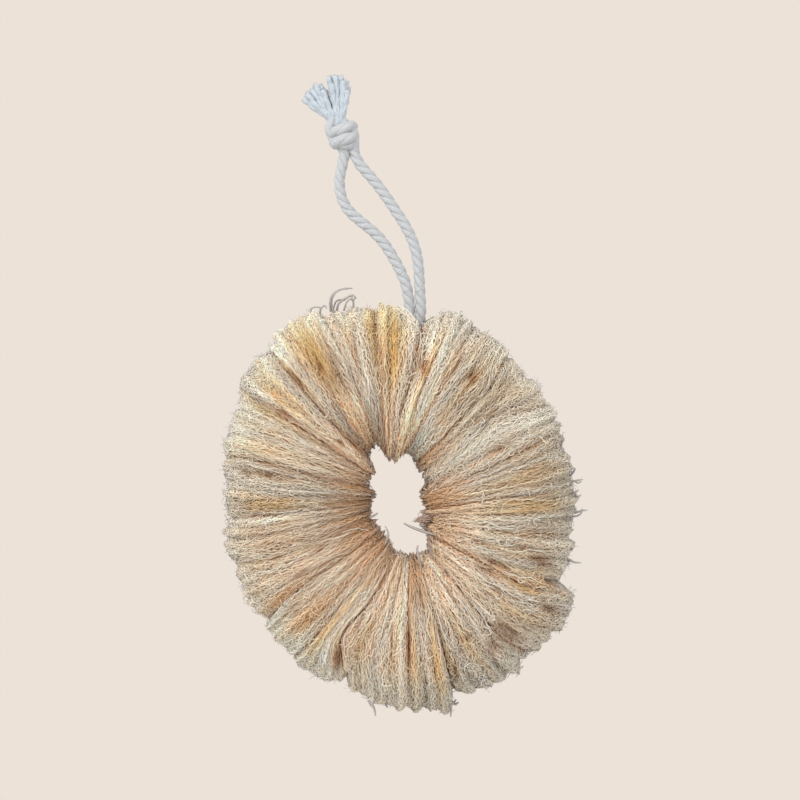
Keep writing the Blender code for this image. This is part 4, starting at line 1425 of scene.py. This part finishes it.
def add_camera(centre, distance, view_width):
    data = bpy.data.cameras.new("camera")
    camera = bpy.data.objects.new("camera", data)
    scene.collection.objects.link(camera)
    data.sensor_width = 36.0
    data.lens = data.sensor_width * distance / view_width
    data.clip_start, data.clip_end = 0.01, 20
    camera.location = Vector(centre) + Vector((0, -distance, 0))
    camera.rotation_euler = (math.pi / 2, 0, 0)
    scene.camera = camera


def add_world():
    """The camera sees the backdrop's colour; the object is lit by a near-white one."""
    world = bpy.data.worlds.new("studio")
    scene.world = world
    world.use_nodes = True
    tree = world.node_tree
    tree.nodes.clear()
    path = add_node(tree, "ShaderNodeLightPath")
    seen = add_node(tree, "ShaderNodeBackground", {"Color": BACKDROP})
    light = {"Color": (0.995, 0.985, 0.98, 1), "Strength": 0.84}
    lit = add_node(tree, "ShaderNodeBackground", light)
    chosen = add_node(tree, "ShaderNodeMixShader", {
        0: path.outputs["Is Camera Ray"], 1: lit.outputs[0], 2: seen.outputs[0]})
    add_node(tree, "ShaderNodeOutputWorld", {"Surface": chosen.outputs[0]})


def add_light(name, place, size, power, colour=(1, 1, 1)):
    """A disk light aimed at the middle of the object."""
    data = bpy.data.lights.new(name, "AREA")
    data.shape = "DISK"
    data.size = size
    data.energy = power
    data.color = colour
    ob = bpy.data.objects.new(name, data)
    scene.collection.objects.link(ob)
    ob.location = Vector(place)
    aim = Vector((0.02, 0, -0.13)) - Vector(place)
    ob.rotation_euler = aim.to_track_quat("-Z", "Y").to_euler()


def floor_material():
    """Fades out from the middle of the floor."""
    material, tree, shader = new_material("pale_floor")
    place = add_node(tree, "ShaderNodeTexCoord").outputs["Object"]
    distance = add_node(tree, "ShaderNodeVectorMath", {0: place}, operation="LENGTH")
    fade = add_node(tree, "ShaderNodeMapRange", {
        "Value": distance.outputs["Value"],
        "From Min": 0.06, "From Max": 0.30, "To Min": 1.0, "To Max": 0.0,
    }, interpolation_type="SMOOTHSTEP")
    set_inputs(shader, {
        "Base Color": BACKDROP, "Roughness": 0.9, "Alpha": fade.outputs["Result"]})
    return material


def add_floor():
    """A pale disc that fades out, so that no horizon shows."""
    segments, radii = 64, (0.1, 0.2, 0.3, 0.4)
    angles = [math.tau * k / segments for k in range(segments)]
    verts = [(0, 0, 0)]
    verts += [(r * math.cos(angle), r * math.sin(angle), 0) for r in radii for angle in angles]
    faces = [(0, 1 + k, 1 + (k + 1) % segments) for k in range(segments)]
    for ring in range(len(radii) - 1):
        first = 1 + ring * segments
        for k in range(segments):
            a, b = first + k, first + (k + 1) % segments
            faces.append((a, a + segments, b + segments, b))
    mesh = bpy.data.meshes.new("floor")
    mesh.from_pydata(verts, [], faces)
    floor = bpy.data.objects.new("floor", mesh)
    scene.collection.objects.link(floor)
    floor.location = (0.0216, 0.0, -0.33)
    mesh.materials.append(floor_material())


add_camera(centre=(0.021648, 0, -0.10494), distance=1.1, view_width=0.352)
add_world()
scene.view_settings.view_transform = "Standard"
add_light("key", (-0.72, -0.95, 0.70), size=0.8, power=12.8, colour=(1.0, 0.985, 0.96))
add_light("fill", (0.8, -1.1, 0.0), size=0.9, power=4.0, colour=(1.0, 0.985, 0.97))
add_light("back", (0.2, 1.3, 0.5), size=0.8, power=6.0)
add_floor()
